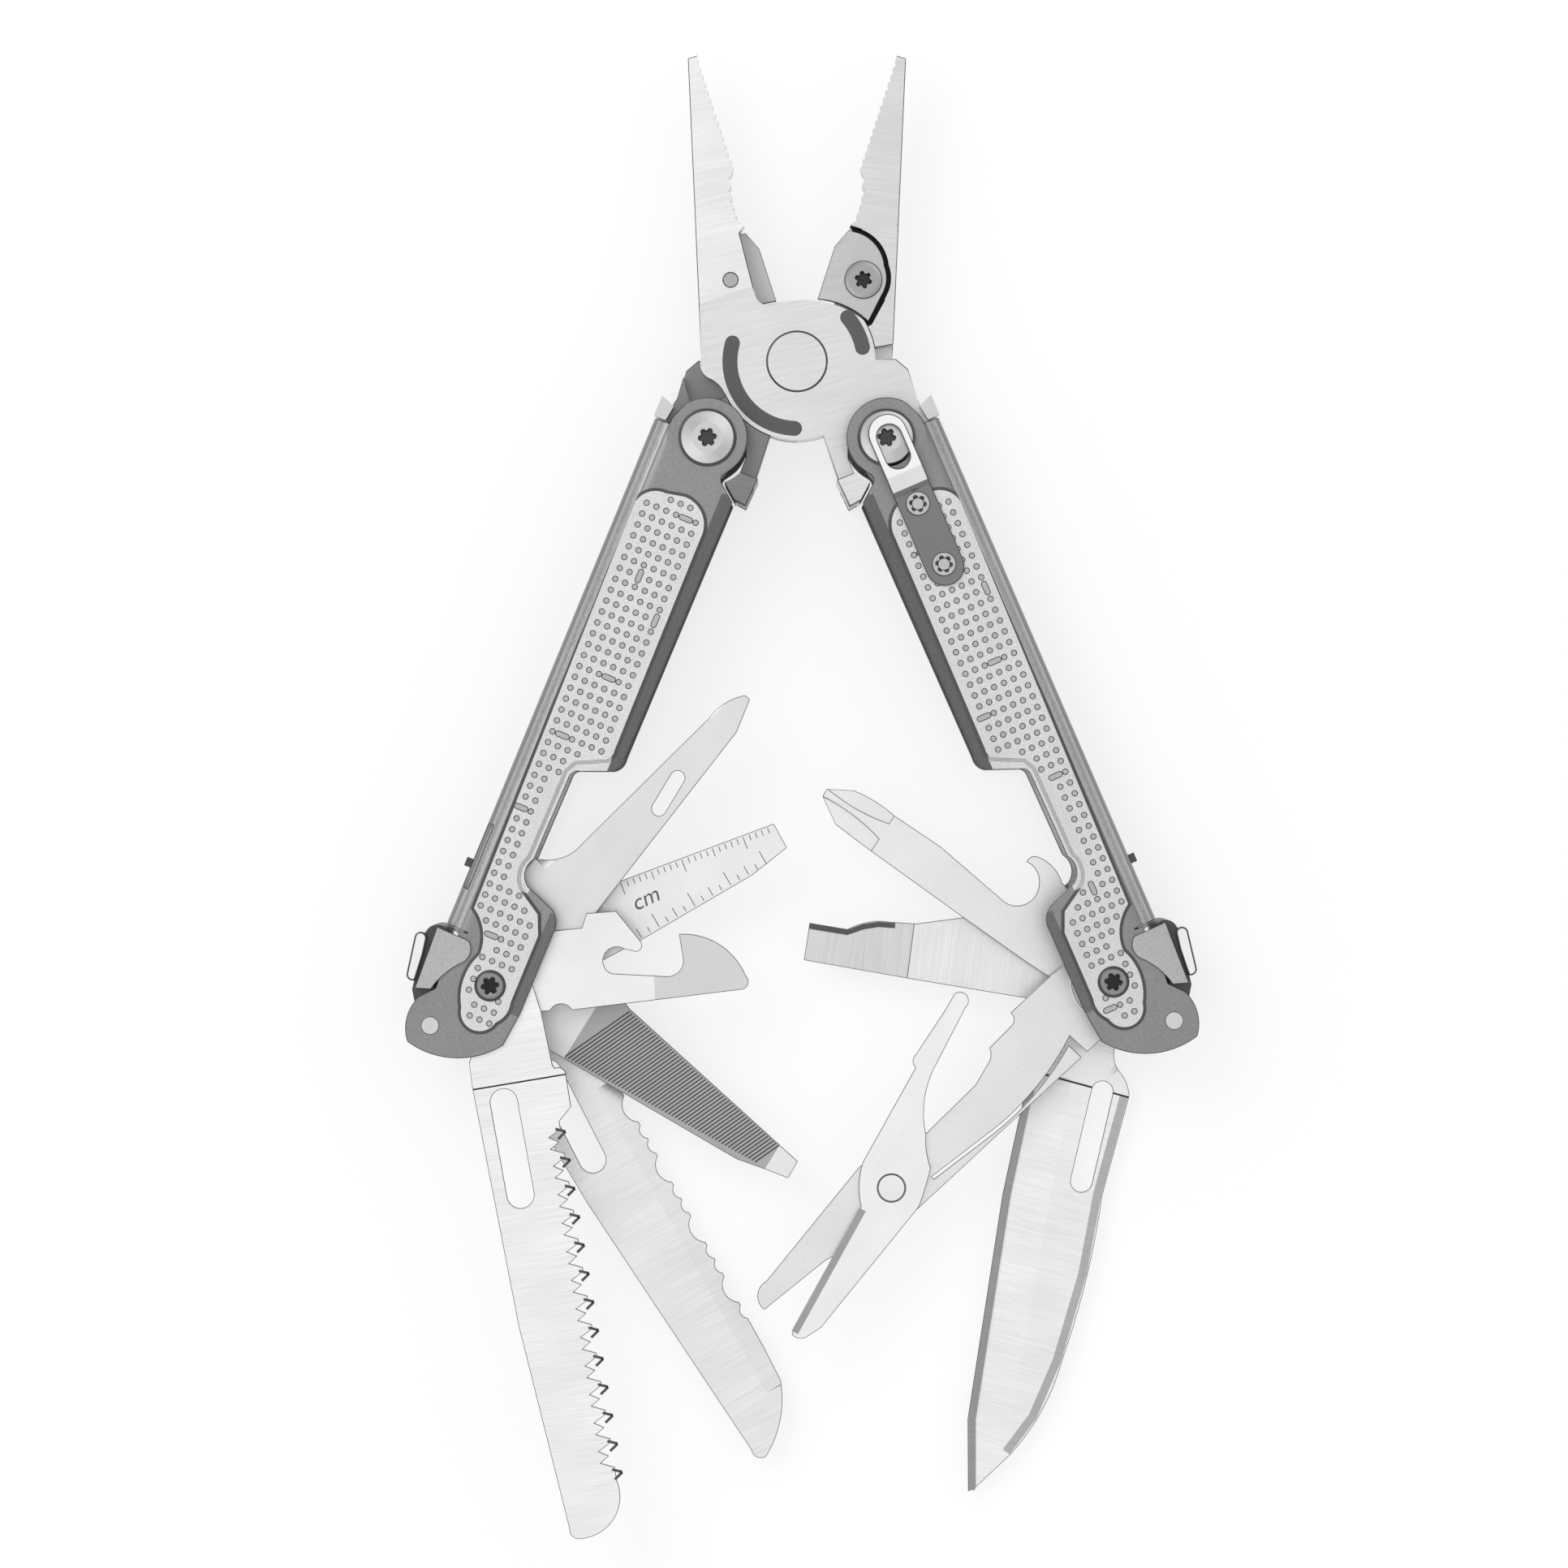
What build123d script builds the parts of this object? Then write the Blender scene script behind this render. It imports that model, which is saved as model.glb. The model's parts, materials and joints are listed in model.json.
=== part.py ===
from build123d import *
import math
import os

# Multi tool lying flat and open: pliers above, two handles below with their tools fanned out.
# Millimetres. Z is the thickness, worked out about the mid-plane and raised at the end.
# Each piece is drawn in the frame of the body that carries it:
#   jaws     at the plier pivot, nose along +Y, as they stand when the pliers are shut
#   handles  at the handle pivot, +X towards the tools, +Y towards the open side
#   tools    at the tool pivot, +X towards the tip

# ---- how the tool stands ------------------------------------------------------------------
HALF_SPREAD = 18.0          # each jaw is this far from shut
LEFT_SPLAY = 4.4            # left handle beyond the line of its jaw
RIGHT_SPLAY = 5.4
SAW_ANGLE = 279.0           # direction of each tool, from the tool pivot to the tip
CAN_ANGLE = 1.8
AWL_ANGLE = 48.3
RULER_ANGLE = 27.4
FILE_ANGLE = 328.0
SERRATED_ANGLE = 299.1
SCISSORS_ANGLE = 225.0
PHILLIPS_ANGLE = 146.7
PRY_ANGLE = 172.5
KNIFE_ANGLE = 254.8

# ---- fits ---------------------------------------------------------------------------------
RUN = 0.06                  # radial clearance of a turning fit
SEAT = 0.03                 # radial clearance of a fixed fit
LAYER_GAP = 0.08            # between neighbouring tools
FREE = 0.3                  # between pieces that pass each other

# ---- the stack of tools, front to back ----------------------------------------------------
SAW_T = 1.2
CAN_T = 1.2
AWL_T = 1.3
SCISSORS_T = 2.2
RULER_T = 1.0
PHILLIPS_T = 2.2
FILE_T = 1.3
PRY_T = 1.4
SERRATED_T = 1.8
KNIFE_T = 1.8
STACK = [("saw", SAW_T), ("can_opener", CAN_T), ("awl", AWL_T), ("scissors", SCISSORS_T),
         ("ruler_driver", RULER_T), ("phillips_driver", PHILLIPS_T), ("file", FILE_T),
         ("pry_driver", PRY_T), ("serrated_blade", SERRATED_T), ("knife_blade", KNIFE_T)]
LEFT_TOOLS = ["saw", "can_opener", "awl", "ruler_driver", "file", "serrated_blade"]
RIGHT_TOOLS = ["scissors", "phillips_driver", "pry_driver", "knife_blade"]
CAVITY = sum(t for _, t in STACK) + LAYER_GAP * (len(STACK) + 1)
INSIDE = CAVITY / 2         # mid-plane to the inner face of a plate

# ---- handle plates ------------------------------------------------------------------------
PLATE_T = 1.1
PLATEAU_T = 0.5             # the raised grip panel
OUTSIDE = INSIDE + PLATE_T  # mid-plane to the border's outer face
TOP = OUTSIDE + PLATEAU_T
SPINE_V = -8.6              # outer face of the spine
OPEN_V = 7.3                # open edge near the pivot
SPINE_WALL = 1.0
SPINE_ROLL = 3.6            # outer radius of the rolled edge
SPINE_REACH = 5.0           # the spine stops this far from the mid-plane, so the noses pass
PIVOT_SPAN = 89.7           # handle pivot to tool pivot, along the handle
TOOL_V = 1.25               # tool pivot towards the open side
END_U = 102.4               # far end of the handle
BOSS_R = 6.1
LEVER_TOP_U = 83.6          # the lock lever's gap in the spine
LEVER_END_U = 96.6
HEEL_X = 17.5               # middle of the saw's and the can opener's heels, from their pivot
HEEL_REACH = 5.2
PANEL_STEPS = 4             # the panel's sloped edge is made in steps
PANEL_SLOPE = 0.6           # width of that slope

# ---- pivots -------------------------------------------------------------------------------
HANDLE_POST_R = 2.4
HANDLE_HEAD_R = 4.45
HANDLE_HEAD_T = 0.45
TOOL_POST_R = 2.0
TOOL_HEAD_R = 2.4
TOOL_HEAD_T = 0.5
WASHER_R = 3.6
SPACER_R = 3.6
TANG_R = 6.2                # round foot of every tool
LONGEST_TOOL = 85.4         # the saw, from its pivot to its tip
LOCK_PIN_U = 98.8
LOCK_PIN_V = -4.9
LOCK_PIN_R = 1.0
LOCK_PIN_HEAD_R = 1.36
LOCK_RING_R = 1.75
TONGUE_T = 0.6              # the lever's tongue stands this far above the border
TORX_R = 1.25
TORX_DEPTH = 0.9

# ---- pliers -------------------------------------------------------------------------------
HANDLE_PIVOT_X = 9.3        # handle pivots from the centre line, pliers shut
HANDLE_PIVOT_Y = 15.5       # and behind the plier pivot
JAW_Z = 4.25                # half the thickness of the head
DISC_R = 12.0
NOSE_L = 49.5
NOSE_TIP_W = 1.5
NOSE_TIP_Z = 1.5
NOSE_TAPER_Y = 13.0         # where the nose starts to thin
NOSE_BASE_X = 13.8
NOSE_BASE_Y = 4.9
JAW_GAP = 0.06              # between the two grips when shut
PIVOT_PIN_R = 4.7
PIVOT_HEAD_T = 0.2
TANG_END_R = 6.5            # round end of a jaw's tang, about the handle pivot
FINE_TEETH = 14
PIPE_MID = (-1.6, 27.0)     # where the coarse teeth are furthest from the other jaw
UPPER_TEETH = 2             # coarse teeth above that point
LOWER_TEETH = 3
COARSE_DEPTH = 0.65
GRIP_START_Y = 31.3         # fine teeth run from here to the tip
PIPE_START_Y = 23.0         # coarse teeth run from here to the fine ones
CUTTER_T = 2.6
CUTTER_GAP = 0.7            # round the cutter in its seat
CUTTER_BEVEL = 2.9          # width of the cutter's ground bevel
CUTTER_EDGE_T = 0.9
CUTTER_SCREW = (-5.8, 15.0) # in the left jaw
CUTTER_SCREW_R = 1.2
CUTTER_HEAD_R = 2.9
CUTTER_HEAD_T = 0.35
LUG_IN_R = 7.3              # the stop lug, about the handle pivot
LUG_START = 43.0            # angles about the handle pivot, from the handle's own line
LUG_END = 74.0
LUG_NECK = 2.9              # the lug's near side, along the handle
FOLD = 174.0                # handle travel about its jaw

# ---- scissors -----------------------------------------------------------------------------
RIVET_X = 46.2
RIVET_Y = -1.4
RIVET_R = 1.2
RIVET_HEAD_R = 2.1
RIVET_HEAD_T = 0.4
SCISSOR_LEAF = (SCISSORS_T - LAYER_GAP) / 2

# ---- pocket clip --------------------------------------------------------------------------
CLIP_START_U = -3.3
CLIP_END_U = 24.5
CLIP_W = 5.9
CLIP_V = -0.3
CLIP_T = 0.9
CLIP_RISE = 1.5
CLIP_SCREW_U = (11.2, 21.2)
CLIP_SCREW_R = 1.85
CLIP_SCREW_T = 0.7


# ---- helpers ------------------------------------------------------------------------------
def outline(start, *steps):
    """A closed face. Each step is a corner, or a (through, end) pair for an arc."""
    edges = []
    here = start
    for step in steps:
        if isinstance(step[0], tuple):
            edges.append(Edge.make_three_point_arc(here, *step))
            here = step[1]
        else:
            edges.append(Edge.make_line(here, step))
            here = step
    if here != start:
        edges.append(Edge.make_line(here, start))
    return Face(Wire(edges))


def slab(face, low, high):
    return Pos(0, 0, low) * extrude(face, amount=high - low, dir=(0, 0, 1))


def disc(x, y, radius, low, high):
    return Pos(x, y, (low + high) / 2) * Cylinder(radius, high - low)


def block(x0, x1, y0, y1, low, high):
    middle = Pos((x0 + x1) / 2, (y0 + y1) / 2, (low + high) / 2)
    return middle * Box(x1 - x0, y1 - y0, high - low)


def slot(start, end, radius, low, high):
    """A round-ended slot through a plate, between two centres."""
    run = Vector(*end) - Vector(*start)
    angle = math.degrees(math.atan2(run.Y, run.X))
    bar = Pos(run.length / 2, 0, (low + high) / 2) * Box(run.length, 2 * radius, high - low)
    ends = disc(0, 0, radius, low, high) + disc(run.length, 0, radius, low, high)
    return Pos(*start) * Rot(0, 0, angle) * (bar + ends)


def polar(radius, angle):
    turn = math.radians(angle)
    return (radius * math.cos(turn), radius * math.sin(turn))


def torx(radius):
    """Six-lobed socket."""
    def lobe(index):
        middle = 60 * index
        return (polar(radius, middle), polar(0.9 * radius, middle + 12))

    def valley(index):
        middle = 60 * index + 30
        return (polar(0.68 * radius, middle), polar(0.9 * radius, middle + 18))

    steps = []
    for index in range(6):
        steps += [lobe(index), valley(index)]
    return outline(polar(0.9 * radius, -12), *steps[:-1], (steps[-1][0], polar(0.9 * radius, -12)))


def socket(x, y, top):
    return Pos(x, y, 0) * slab(torx(TORX_R), top - TORX_DEPTH, top + 1)


def grind(start, end, width, thickness, edge):
    """The wedges taken off both faces of a blade along its edge, start to end."""
    run = Vector(*end) - Vector(*start)
    across = Vector(-run.Y, run.X).normalized()
    side = Plane(origin=(start[0], start[1], 0), x_dir=across, z_dir=run.normalized())
    lift = thickness
    wedge = outline((-lift, edge / 2), (0, edge / 2), (width, thickness / 2),
                    (width, lift), (-lift, lift))
    front = extrude(side * wedge, amount=run.length, dir=run.normalized())
    return front + mirror(front, about=Plane.XY)


def right_hand(piece):
    """The same piece for the right handle, mirrored across the handle's own axis."""
    solids = [mirror(solid, about=Plane.XZ) for solid in piece.solids()]
    return solids[0] if len(solids) == 1 else Compound(children=solids)


def both_faces(piece):
    """A piece and its mirror image on the other face of the tool."""
    return Compound(children=[piece, mirror(piece, about=Plane.XY)])


def rotated(point, angle):
    turned = Vector(*point).rotate(Axis.Z, angle)
    return (turned.X, turned.Y)


# ---- places -------------------------------------------------------------------------------
LEFT_PIVOT = rotated((-HANDLE_PIVOT_X, -HANDLE_PIVOT_Y), -HALF_SPREAD)
RIGHT_PIVOT = rotated((HANDLE_PIVOT_X, -HANDLE_PIVOT_Y), HALF_SPREAD)
LEFT_DIRECTION = 270 - HALF_SPREAD - LEFT_SPLAY
RIGHT_DIRECTION = 270 + HALF_SPREAD + RIGHT_SPLAY
JAW_A_PLACE = Rot(0, 0, HALF_SPREAD)
JAW_B_PLACE = Rot(0, 0, -HALF_SPREAD)
LEFT_PLACE = Pos(*LEFT_PIVOT) * Rot(0, 0, LEFT_DIRECTION)
RIGHT_PLACE = Pos(*RIGHT_PIVOT) * Rot(0, 0, RIGHT_DIRECTION)
LEFT_TOOL_PIVOT = (LEFT_PLACE * Pos(PIVOT_SPAN, TOOL_V)).position
RIGHT_TOOL_PIVOT = (RIGHT_PLACE * Pos(PIVOT_SPAN, -TOOL_V)).position


def level(name):
    """Lowest and highest Z of a layer of the stack."""
    top = INSIDE
    for layer, thickness in STACK:
        top -= LAYER_GAP
        if layer == name:
            return (top - thickness, top)
        top -= thickness
    raise ValueError(name)


# ---- pliers -------------------------------------------------------------------------------
def nose_face():
    """Half of the shut pliers' nose, left of the centre line."""
    grip = -JAW_GAP / 2
    return outline((grip, NOSE_L), (-NOSE_TIP_W, NOSE_L), (-NOSE_BASE_X, NOSE_BASE_Y),
                   ((-NOSE_BASE_X - 0.5, 3.2), (-NOSE_BASE_X + 0.4, 1.6)),
                   ((-12.6, 0.6), (-DISC_R, -1.2)), (0, 0), (grip, 8.5),
                   (grip, PIPE_START_Y - 4.2), (-1.1, PIPE_START_Y - 1.2),
                   (-1.6, PIPE_START_Y), ((-1.7, PIPE_START_Y + 3.5), (grip, GRIP_START_Y)))


def tooth_row(start, end, count, depth):
    """Grooves across a grip, from one point of it to another."""
    run = (Vector(*end) - Vector(*start)) / count
    inward = Vector(run.Y, -run.X).normalized() * depth
    grooves = []
    for index in range(count):
        root = Vector(*start) + run * index
        tip = root + run * 0.5 + inward
        far = root + run
        face = outline((root.X, root.Y), (tip.X, tip.Y), (far.X, far.Y),
                       (far.X - inward.X, far.Y - inward.Y), (root.X - inward.X, root.Y - inward.Y))
        grooves.append(slab(face, -JAW_Z, JAW_Z))
    return grooves


def thinned_nose():
    """The envelope that thins the nose towards its tip."""
    side = outline((-40, -JAW_Z), (NOSE_TAPER_Y, -JAW_Z), (NOSE_L + 1, -NOSE_TIP_Z),
                   (NOSE_L + 1, NOSE_TIP_Z), (NOSE_TAPER_Y, JAW_Z), (-40, JAW_Z))
    across = Plane(origin=(-30, 0, 0), x_dir=(0, 1, 0), z_dir=(1, 0, 0))
    return extrude(across * side, amount=60, dir=(1, 0, 0))


def tang_face():
    """From the disc to the handle pivot of the jaw whose nose is on the left."""
    x, y = HANDLE_PIVOT_X, -HANDLE_PIVOT_Y
    return outline((0, 0), (11.3, -3.4), (14.5, -4.3), (x + 6.5, y + 9.1), (x + 6.4, y + 4.4),
                   ((x + TANG_END_R * 0.97, y - 1.6), (x + 3.2, y - 5.66)),
                   (x - 3.5, y - 5.48), (x - 6.2, y + 1.5), (2.2, -10.0))


def lug_face(splay):
    """The stop lug, which stands in the plates' notches while the handle is open."""
    x, y = HANDLE_PIVOT_X, -HANDLE_PIVOT_Y

    def at(u, v):
        du, dv = rotated((u, -v), 270 + splay)
        return (x + du, y + dv)
    return outline(at(*polar(LUG_IN_R, LUG_START)), at(7.2, 7.3), at(7.4, 9.3), at(LUG_NECK, 9.5),
                   at(*polar(LUG_IN_R, LUG_END - 8)),
                   (at(*polar(LUG_IN_R, (LUG_START + LUG_END) / 2)), at(*polar(LUG_IN_R, LUG_START))))


def tool_sweep(splay, low, high):
    """What the tips of the longest tools pass through beside the tang as they fold."""
    place = Pos(HANDLE_PIVOT_X, -HANDLE_PIVOT_Y, 0) * Rot(0, 0, 270 + splay)
    return place * disc(PIVOT_SPAN, -TOOL_V, LONGEST_TOOL + FREE, low, high)


def lap_faces():
    """Where this jaw overlaps the other one beside the disc, so each keeps half its thickness."""
    far = 17.5
    return [outline((0, 0), polar(far, first), (polar(far, (first + last) / 2), polar(far, last)))
            for first, last in ((-44, -12), (152, 190))]


def arm_face():
    """The arm that carries the stop lug down from the disc."""
    x, y = HANDLE_PIVOT_X, -HANDLE_PIVOT_Y
    return outline((0.4, -9.0), (x - 4, y + 6), (x - 6.4, y - 1.0), (x - 6.2, y - 4.4),
                   (x - 6.9, y - 8.2), (x - 8.9, y - 6.6), (x - 8.9, y + 2.0))


def cutter_face():
    """The replaceable wire cutter let into a jaw."""
    grip = -JAW_GAP / 2
    return outline((grip, 10.1), (grip, 18.6), (-1.3, 21.6), (-3.2, 21.6),
                   ((-6.6, 20.2), (-8.2, 18.0)), ((-9.2, 16.0), (-9.2, 13.7)), (-8.5, 9.2),
                   ((-4.8, 10.3), (grip, 10.1)))


def crown_face():
    """What is cut from a jaw beside its cutter, and above its disc."""
    return outline((1, 22.2), (-1.35, 22.2), (-2.3, 21.4), (-2.9, 12.0), ((-2.5, 10.2), (-0.6, 9.3)),
                   ((6.7, 7.4), (12.3, 1.8)), (16, 1.8), (16, 22.2))


def cutter_side(piece, front):
    """The front jaw carries its cutter on its back face, and the back jaw on its front face."""
    return mirror(piece, about=Plane.XY) if front else piece


def jaw(front, splay):
    """The front jaw has its nose on the left. The back one is its mirror image."""
    keep = 1 if front else -1
    body = slab(nose_face(), -JAW_Z, JAW_Z) + slab(tang_face(), -JAW_Z, JAW_Z)
    body += slab(arm_face(), -JAW_Z, JAW_Z)
    body &= thinned_nose()
    other = sorted((0, -keep * JAW_Z * 1.1))
    body -= disc(0, 0, DISC_R + FREE / 2, *other)
    for face in lap_faces():
        body -= slab(face, *sorted((keep * LAYER_GAP / 2, -keep * JAW_Z * 1.1)))
    own = sorted((keep * LAYER_GAP / 2, keep * JAW_Z))
    body += disc(0, 0, DISC_R, *own)
    lug = slab(lug_face(splay), -OUTSIDE, OUTSIDE)
    lug -= tool_sweep(splay, JAW_Z, INSIDE)
    lug -= tool_sweep(splay, -INSIDE, -JAW_Z)
    body += lug
    body -= disc(HANDLE_PIVOT_X, -HANDLE_PIVOT_Y, HANDLE_POST_R + RUN, -JAW_Z, JAW_Z)
    body -= disc(0, 0, PIVOT_PIN_R + (SEAT if front else RUN), -JAW_Z, JAW_Z)
    for groove in tooth_row((0, NOSE_L - 0.8), (0, GRIP_START_Y), FINE_TEETH, 0.45):
        body -= groove
    for groove in (tooth_row((-0.45, GRIP_START_Y - 0.7), PIPE_MID, UPPER_TEETH, COARSE_DEPTH)
                   + tooth_row(PIPE_MID, (-1.6, PIPE_START_Y), LOWER_TEETH, COARSE_DEPTH)):
        body -= groove
    seat = slab(offset(cutter_face(), CUTTER_GAP), JAW_Z - CUTTER_T, JAW_Z + 1)
    body -= cutter_side(seat, front)
    body -= cutter_side(slab(crown_face(), -JAW_Z - 1, JAW_Z - CUTTER_T), front)
    return body - disc(*CUTTER_SCREW, CUTTER_SCREW_R + SEAT, -JAW_Z, JAW_Z)


def cutter(front):
    body = slab(cutter_face(), JAW_Z - CUTTER_T + SEAT, JAW_Z)
    foot = JAW_Z - CUTTER_T + CUTTER_EDGE_T
    bevel = outline((-CUTTER_BEVEL, JAW_Z), (1, foot), (1, JAW_Z + 1), (-CUTTER_BEVEL, JAW_Z + 1))
    body -= extrude(Plane(origin=(0, 0, 0), x_dir=(1, 0, 0), z_dir=(0, -1, 0)) * bevel,
                    amount=30, dir=(0, 1, 0))
    return cutter_side(body - disc(*CUTTER_SCREW, CUTTER_SCREW_R + SEAT, -JAW_Z, JAW_Z + 1), front)


def cutter_screw(front):
    stem = disc(*CUTTER_SCREW, CUTTER_SCREW_R, -JAW_Z, JAW_Z) & thinned_nose()
    head = disc(*CUTTER_SCREW, CUTTER_HEAD_R, JAW_Z, JAW_Z + CUTTER_HEAD_T)
    stem += disc(*CUTTER_SCREW, CUTTER_SCREW_R, 0, JAW_Z)
    return cutter_side(stem + head - socket(*CUTTER_SCREW, JAW_Z + CUTTER_HEAD_T), front)


def plier_pivot():
    """The pin that both jaws turn on."""
    pin = disc(0, 0, PIVOT_PIN_R, -JAW_Z - PIVOT_HEAD_T, JAW_Z + PIVOT_HEAD_T)
    return chamfer(pin.edges(), 0.15)


# ---- handles, drawn as the left one -------------------------------------------------------
def plate_face():
    """The whole plate, spine included, seen from the front."""
    corner = polar(BOSS_R, 60)
    shelf = polar(BOSS_R, 234)
    return outline((0.2, SPINE_V), (LEVER_TOP_U, SPINE_V), (LEVER_TOP_U + 0.6, -6.2),
                   ((88.6, -6.6), (93.2, -6.3)), (LEVER_END_U - 1.2, -8.2),
                   ((99.6, -8.6), (END_U, -7.2)), ((END_U + 0.1, -1.3), (97.4, 6.5)),
                   (91.9, 7.1), (78.5, 7.1), ((76.6, 6.7), (75.3, 5.4)),
                   (73.6, 0.9), ((71.6, -0.4), (69.4, 0.1)), (55.6, 0.3),
                   ((54.8, 0.7), (54.4, 1.5)), (52.6, 5.9), ((51.6, 6.8), (50.0, 7.0)),
                   (7.7, OPEN_V), (5.7, 4.8), ((4.9, 4.35), (4.1, 4.6)), corner,
                   (polar(BOSS_R, 147), shelf), (-0.4, -6.2))


def panel_face():
    """The raised grip panel, inside its border."""
    return outline((9.8, -2.6), ((11.2, -5.9), (14.6, -6.9)), (80.0, -6.0),
                   ((82.4, -3.5), (85.8, -2.5)), ((91.6, -3.2), (94.6, -2.0)),
                   ((97.4, 1.4), (94.8, 4.6)), ((93.0, 5.6), (90.8, 5.6)), (79.8, 5.6),
                   (76.6, 4.2), (74.0, 0.0), ((71.6, -1.0), (69.4, -0.5)), (55.1, -0.3),
                   (53.6, 0.5), (51.5, 4.9), ((50.6, 5.5), (49.4, 5.6)), (14.6, 5.4),
                   ((9.9, 3.0), (9.2, 0.2)))


def spine_section():
    """Section of the rolled spine, across the handle: (towards the open side, up)."""
    outer, inner = SPINE_V, SPINE_V + SPINE_WALL
    bend = SPINE_ROLL * (1 - math.sqrt(0.5))
    inner_roll = SPINE_ROLL - SPINE_WALL
    inner_bend = inner_roll * (1 - math.sqrt(0.5))
    under = OUTSIDE - SPINE_WALL
    return outline((outer, SPINE_REACH), (outer, OUTSIDE - SPINE_ROLL),
                   ((outer + bend, OUTSIDE - bend), (outer + SPINE_ROLL, OUTSIDE)),
                   (outer + SPINE_ROLL, under), ((inner + inner_bend, under - inner_bend),
                                                 (inner, under - inner_roll)),
                   (inner, SPINE_REACH))


def front_plate():
    """The plate on the front. The back plate is its mirror image."""
    flat = slab(plate_face(), INSIDE, OUTSIDE)
    flat -= block(-20, LEVER_TOP_U + 0.1, SPINE_V - 1, SPINE_V + SPINE_ROLL, -TOP, TOP)
    flat += slab(plate_face(), INSIDE, OUTSIDE) & disc(0, 0, BOSS_R, INSIDE, OUTSIDE)
    across = Plane(origin=(0.2, 0, 0), x_dir=(0, 1, 0), z_dir=(1, 0, 0))
    spine = extrude(across * spine_section(), amount=LEVER_TOP_U - 0.2, dir=(1, 0, 0))
    plate = flat + spine
    rise = PLATEAU_T / PANEL_STEPS
    for step in range(PANEL_STEPS):
        inset = panel_face() if step == 0 else offset(panel_face(), -PANEL_SLOPE * step / PANEL_STEPS)
        plate += slab(inset, OUTSIDE + rise * step, OUTSIDE + rise * (step + 1))
    plate -= disc(0, 0, HANDLE_POST_R + SEAT, INSIDE - 1, TOP + 1)
    plate -= disc(PIVOT_SPAN, TOOL_V, TOOL_POST_R + SEAT, INSIDE - 1, TOP + 1)
    plate -= disc(LOCK_PIN_U, LOCK_PIN_V, LOCK_PIN_R + SEAT, INSIDE - 1, TOP + 1)
    return plate


def heel_window():
    """The gap in the spine that the heels of the saw and the can opener swing into."""
    low = level("can_opener")[0] - FREE
    middle = PIVOT_SPAN - HEEL_X
    return block(middle - HEEL_REACH, middle + HEEL_REACH, SPINE_V - 1,
                 SPINE_V + SPINE_ROLL, low, INSIDE)


def handle_pivot():
    """Screw, post and back head that the handle turns on."""
    post = disc(0, 0, HANDLE_POST_R, -OUTSIDE, OUTSIDE)
    front = disc(0, 0, HANDLE_HEAD_R, OUTSIDE, OUTSIDE + HANDLE_HEAD_T)
    front = chamfer(front.edges().sort_by(Axis.Z)[-1], HANDLE_HEAD_T * 0.6)
    back = mirror(front, about=Plane.XY)
    return post + front + back - socket(0, 0, OUTSIDE + HANDLE_HEAD_T)


def tool_pivot():
    post = disc(PIVOT_SPAN, TOOL_V, TOOL_POST_R, -TOP, TOP)
    head = disc(PIVOT_SPAN, TOOL_V, TOOL_HEAD_R, TOP, TOP + TOOL_HEAD_T)
    head = chamfer(head.edges().sort_by(Axis.Z)[-1], TOOL_HEAD_T * 0.5)
    return post + head - socket(PIVOT_SPAN, TOOL_V, TOP + TOOL_HEAD_T)


def pivot_washer():
    """Centres the jaw's tang between the plates, on the front."""
    hole = disc(0, 0, HANDLE_POST_R + RUN, -INSIDE - 1, INSIDE + 1)
    front = disc(0, 0, WASHER_R, JAW_Z + LAYER_GAP, INSIDE) - hole
    return front


def spacers(tools):
    """Spacer washers that fill the layers where the other handle has a tool."""
    rings = []
    low = high = None
    for name, _ in STACK + [("end", 0)]:
        if name not in tools and name != "end":
            bottom, top = level(name)
            high = top if high is None else high
            low = bottom
        elif high is not None:
            ring = disc(PIVOT_SPAN, TOOL_V, SPACER_R, low, high)
            rings.append(ring - disc(PIVOT_SPAN, TOOL_V, TOOL_POST_R + RUN, low - 1, high + 1))
            high = None
    return Compound(children=rings)


def lever_face():
    """The lock lever between the plates: a ring on its pin and a thumb rest."""
    return outline((98.6, -6.4), (LEVER_END_U - 0.3, -8.6), (94.8, -9.6),
                   (86.6, -10.9), ((84.6, -10.4), (84.1, -8.9)), (84.3, -7.7),
                   ((88.6, -7.1), (93.0, -6.6)), (97.2, -5.0))


def lock_lever():
    width = INSIDE - LAYER_GAP
    body = slab(lever_face(), -width, width)
    body += disc(LOCK_PIN_U, LOCK_PIN_V, LOCK_RING_R, -width, width)
    tongue = outline((84.5, -9.6), (84.6, -4.4), ((86.4, -3.4), (88.4, -4.3)),
                     ((90.8, -5.9), (93.6, -6.9)), (94.4, -9.2))
    riser = outline((84.5, -9.6), (84.6, -7.0), ((88.6, -7.1), (93.2, -6.9)), (94.4, -9.2))
    body += slab(riser, width, OUTSIDE + TONGUE_T)
    body += slab(tongue, OUTSIDE + LAYER_GAP, OUTSIDE + TONGUE_T)
    return body - disc(LOCK_PIN_U, LOCK_PIN_V, LOCK_PIN_R + RUN, -INSIDE, INSIDE)


def lock_button():
    """The polished thumb piece on the lever."""
    bar = slot((87.0, -11.3), (92.6, -10.3), 0.95, -3.2, OUTSIDE + 0.6)
    return bar - slab(lever_face(), -INSIDE, INSIDE) - slab(
        outline((84, -10.4), (95.5, -9.4), (95.5, -5), (84, -5)), 0, TOP + 1)


def lock_pin():
    """The corner rivet that the lock lever turns on."""
    pin = disc(LOCK_PIN_U, LOCK_PIN_V, LOCK_PIN_R, -OUTSIDE, OUTSIDE)
    head = disc(LOCK_PIN_U, LOCK_PIN_V, LOCK_PIN_HEAD_R, OUTSIDE, OUTSIDE + 0.2)
    return pin + head + mirror(head, about=Plane.XY)


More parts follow.
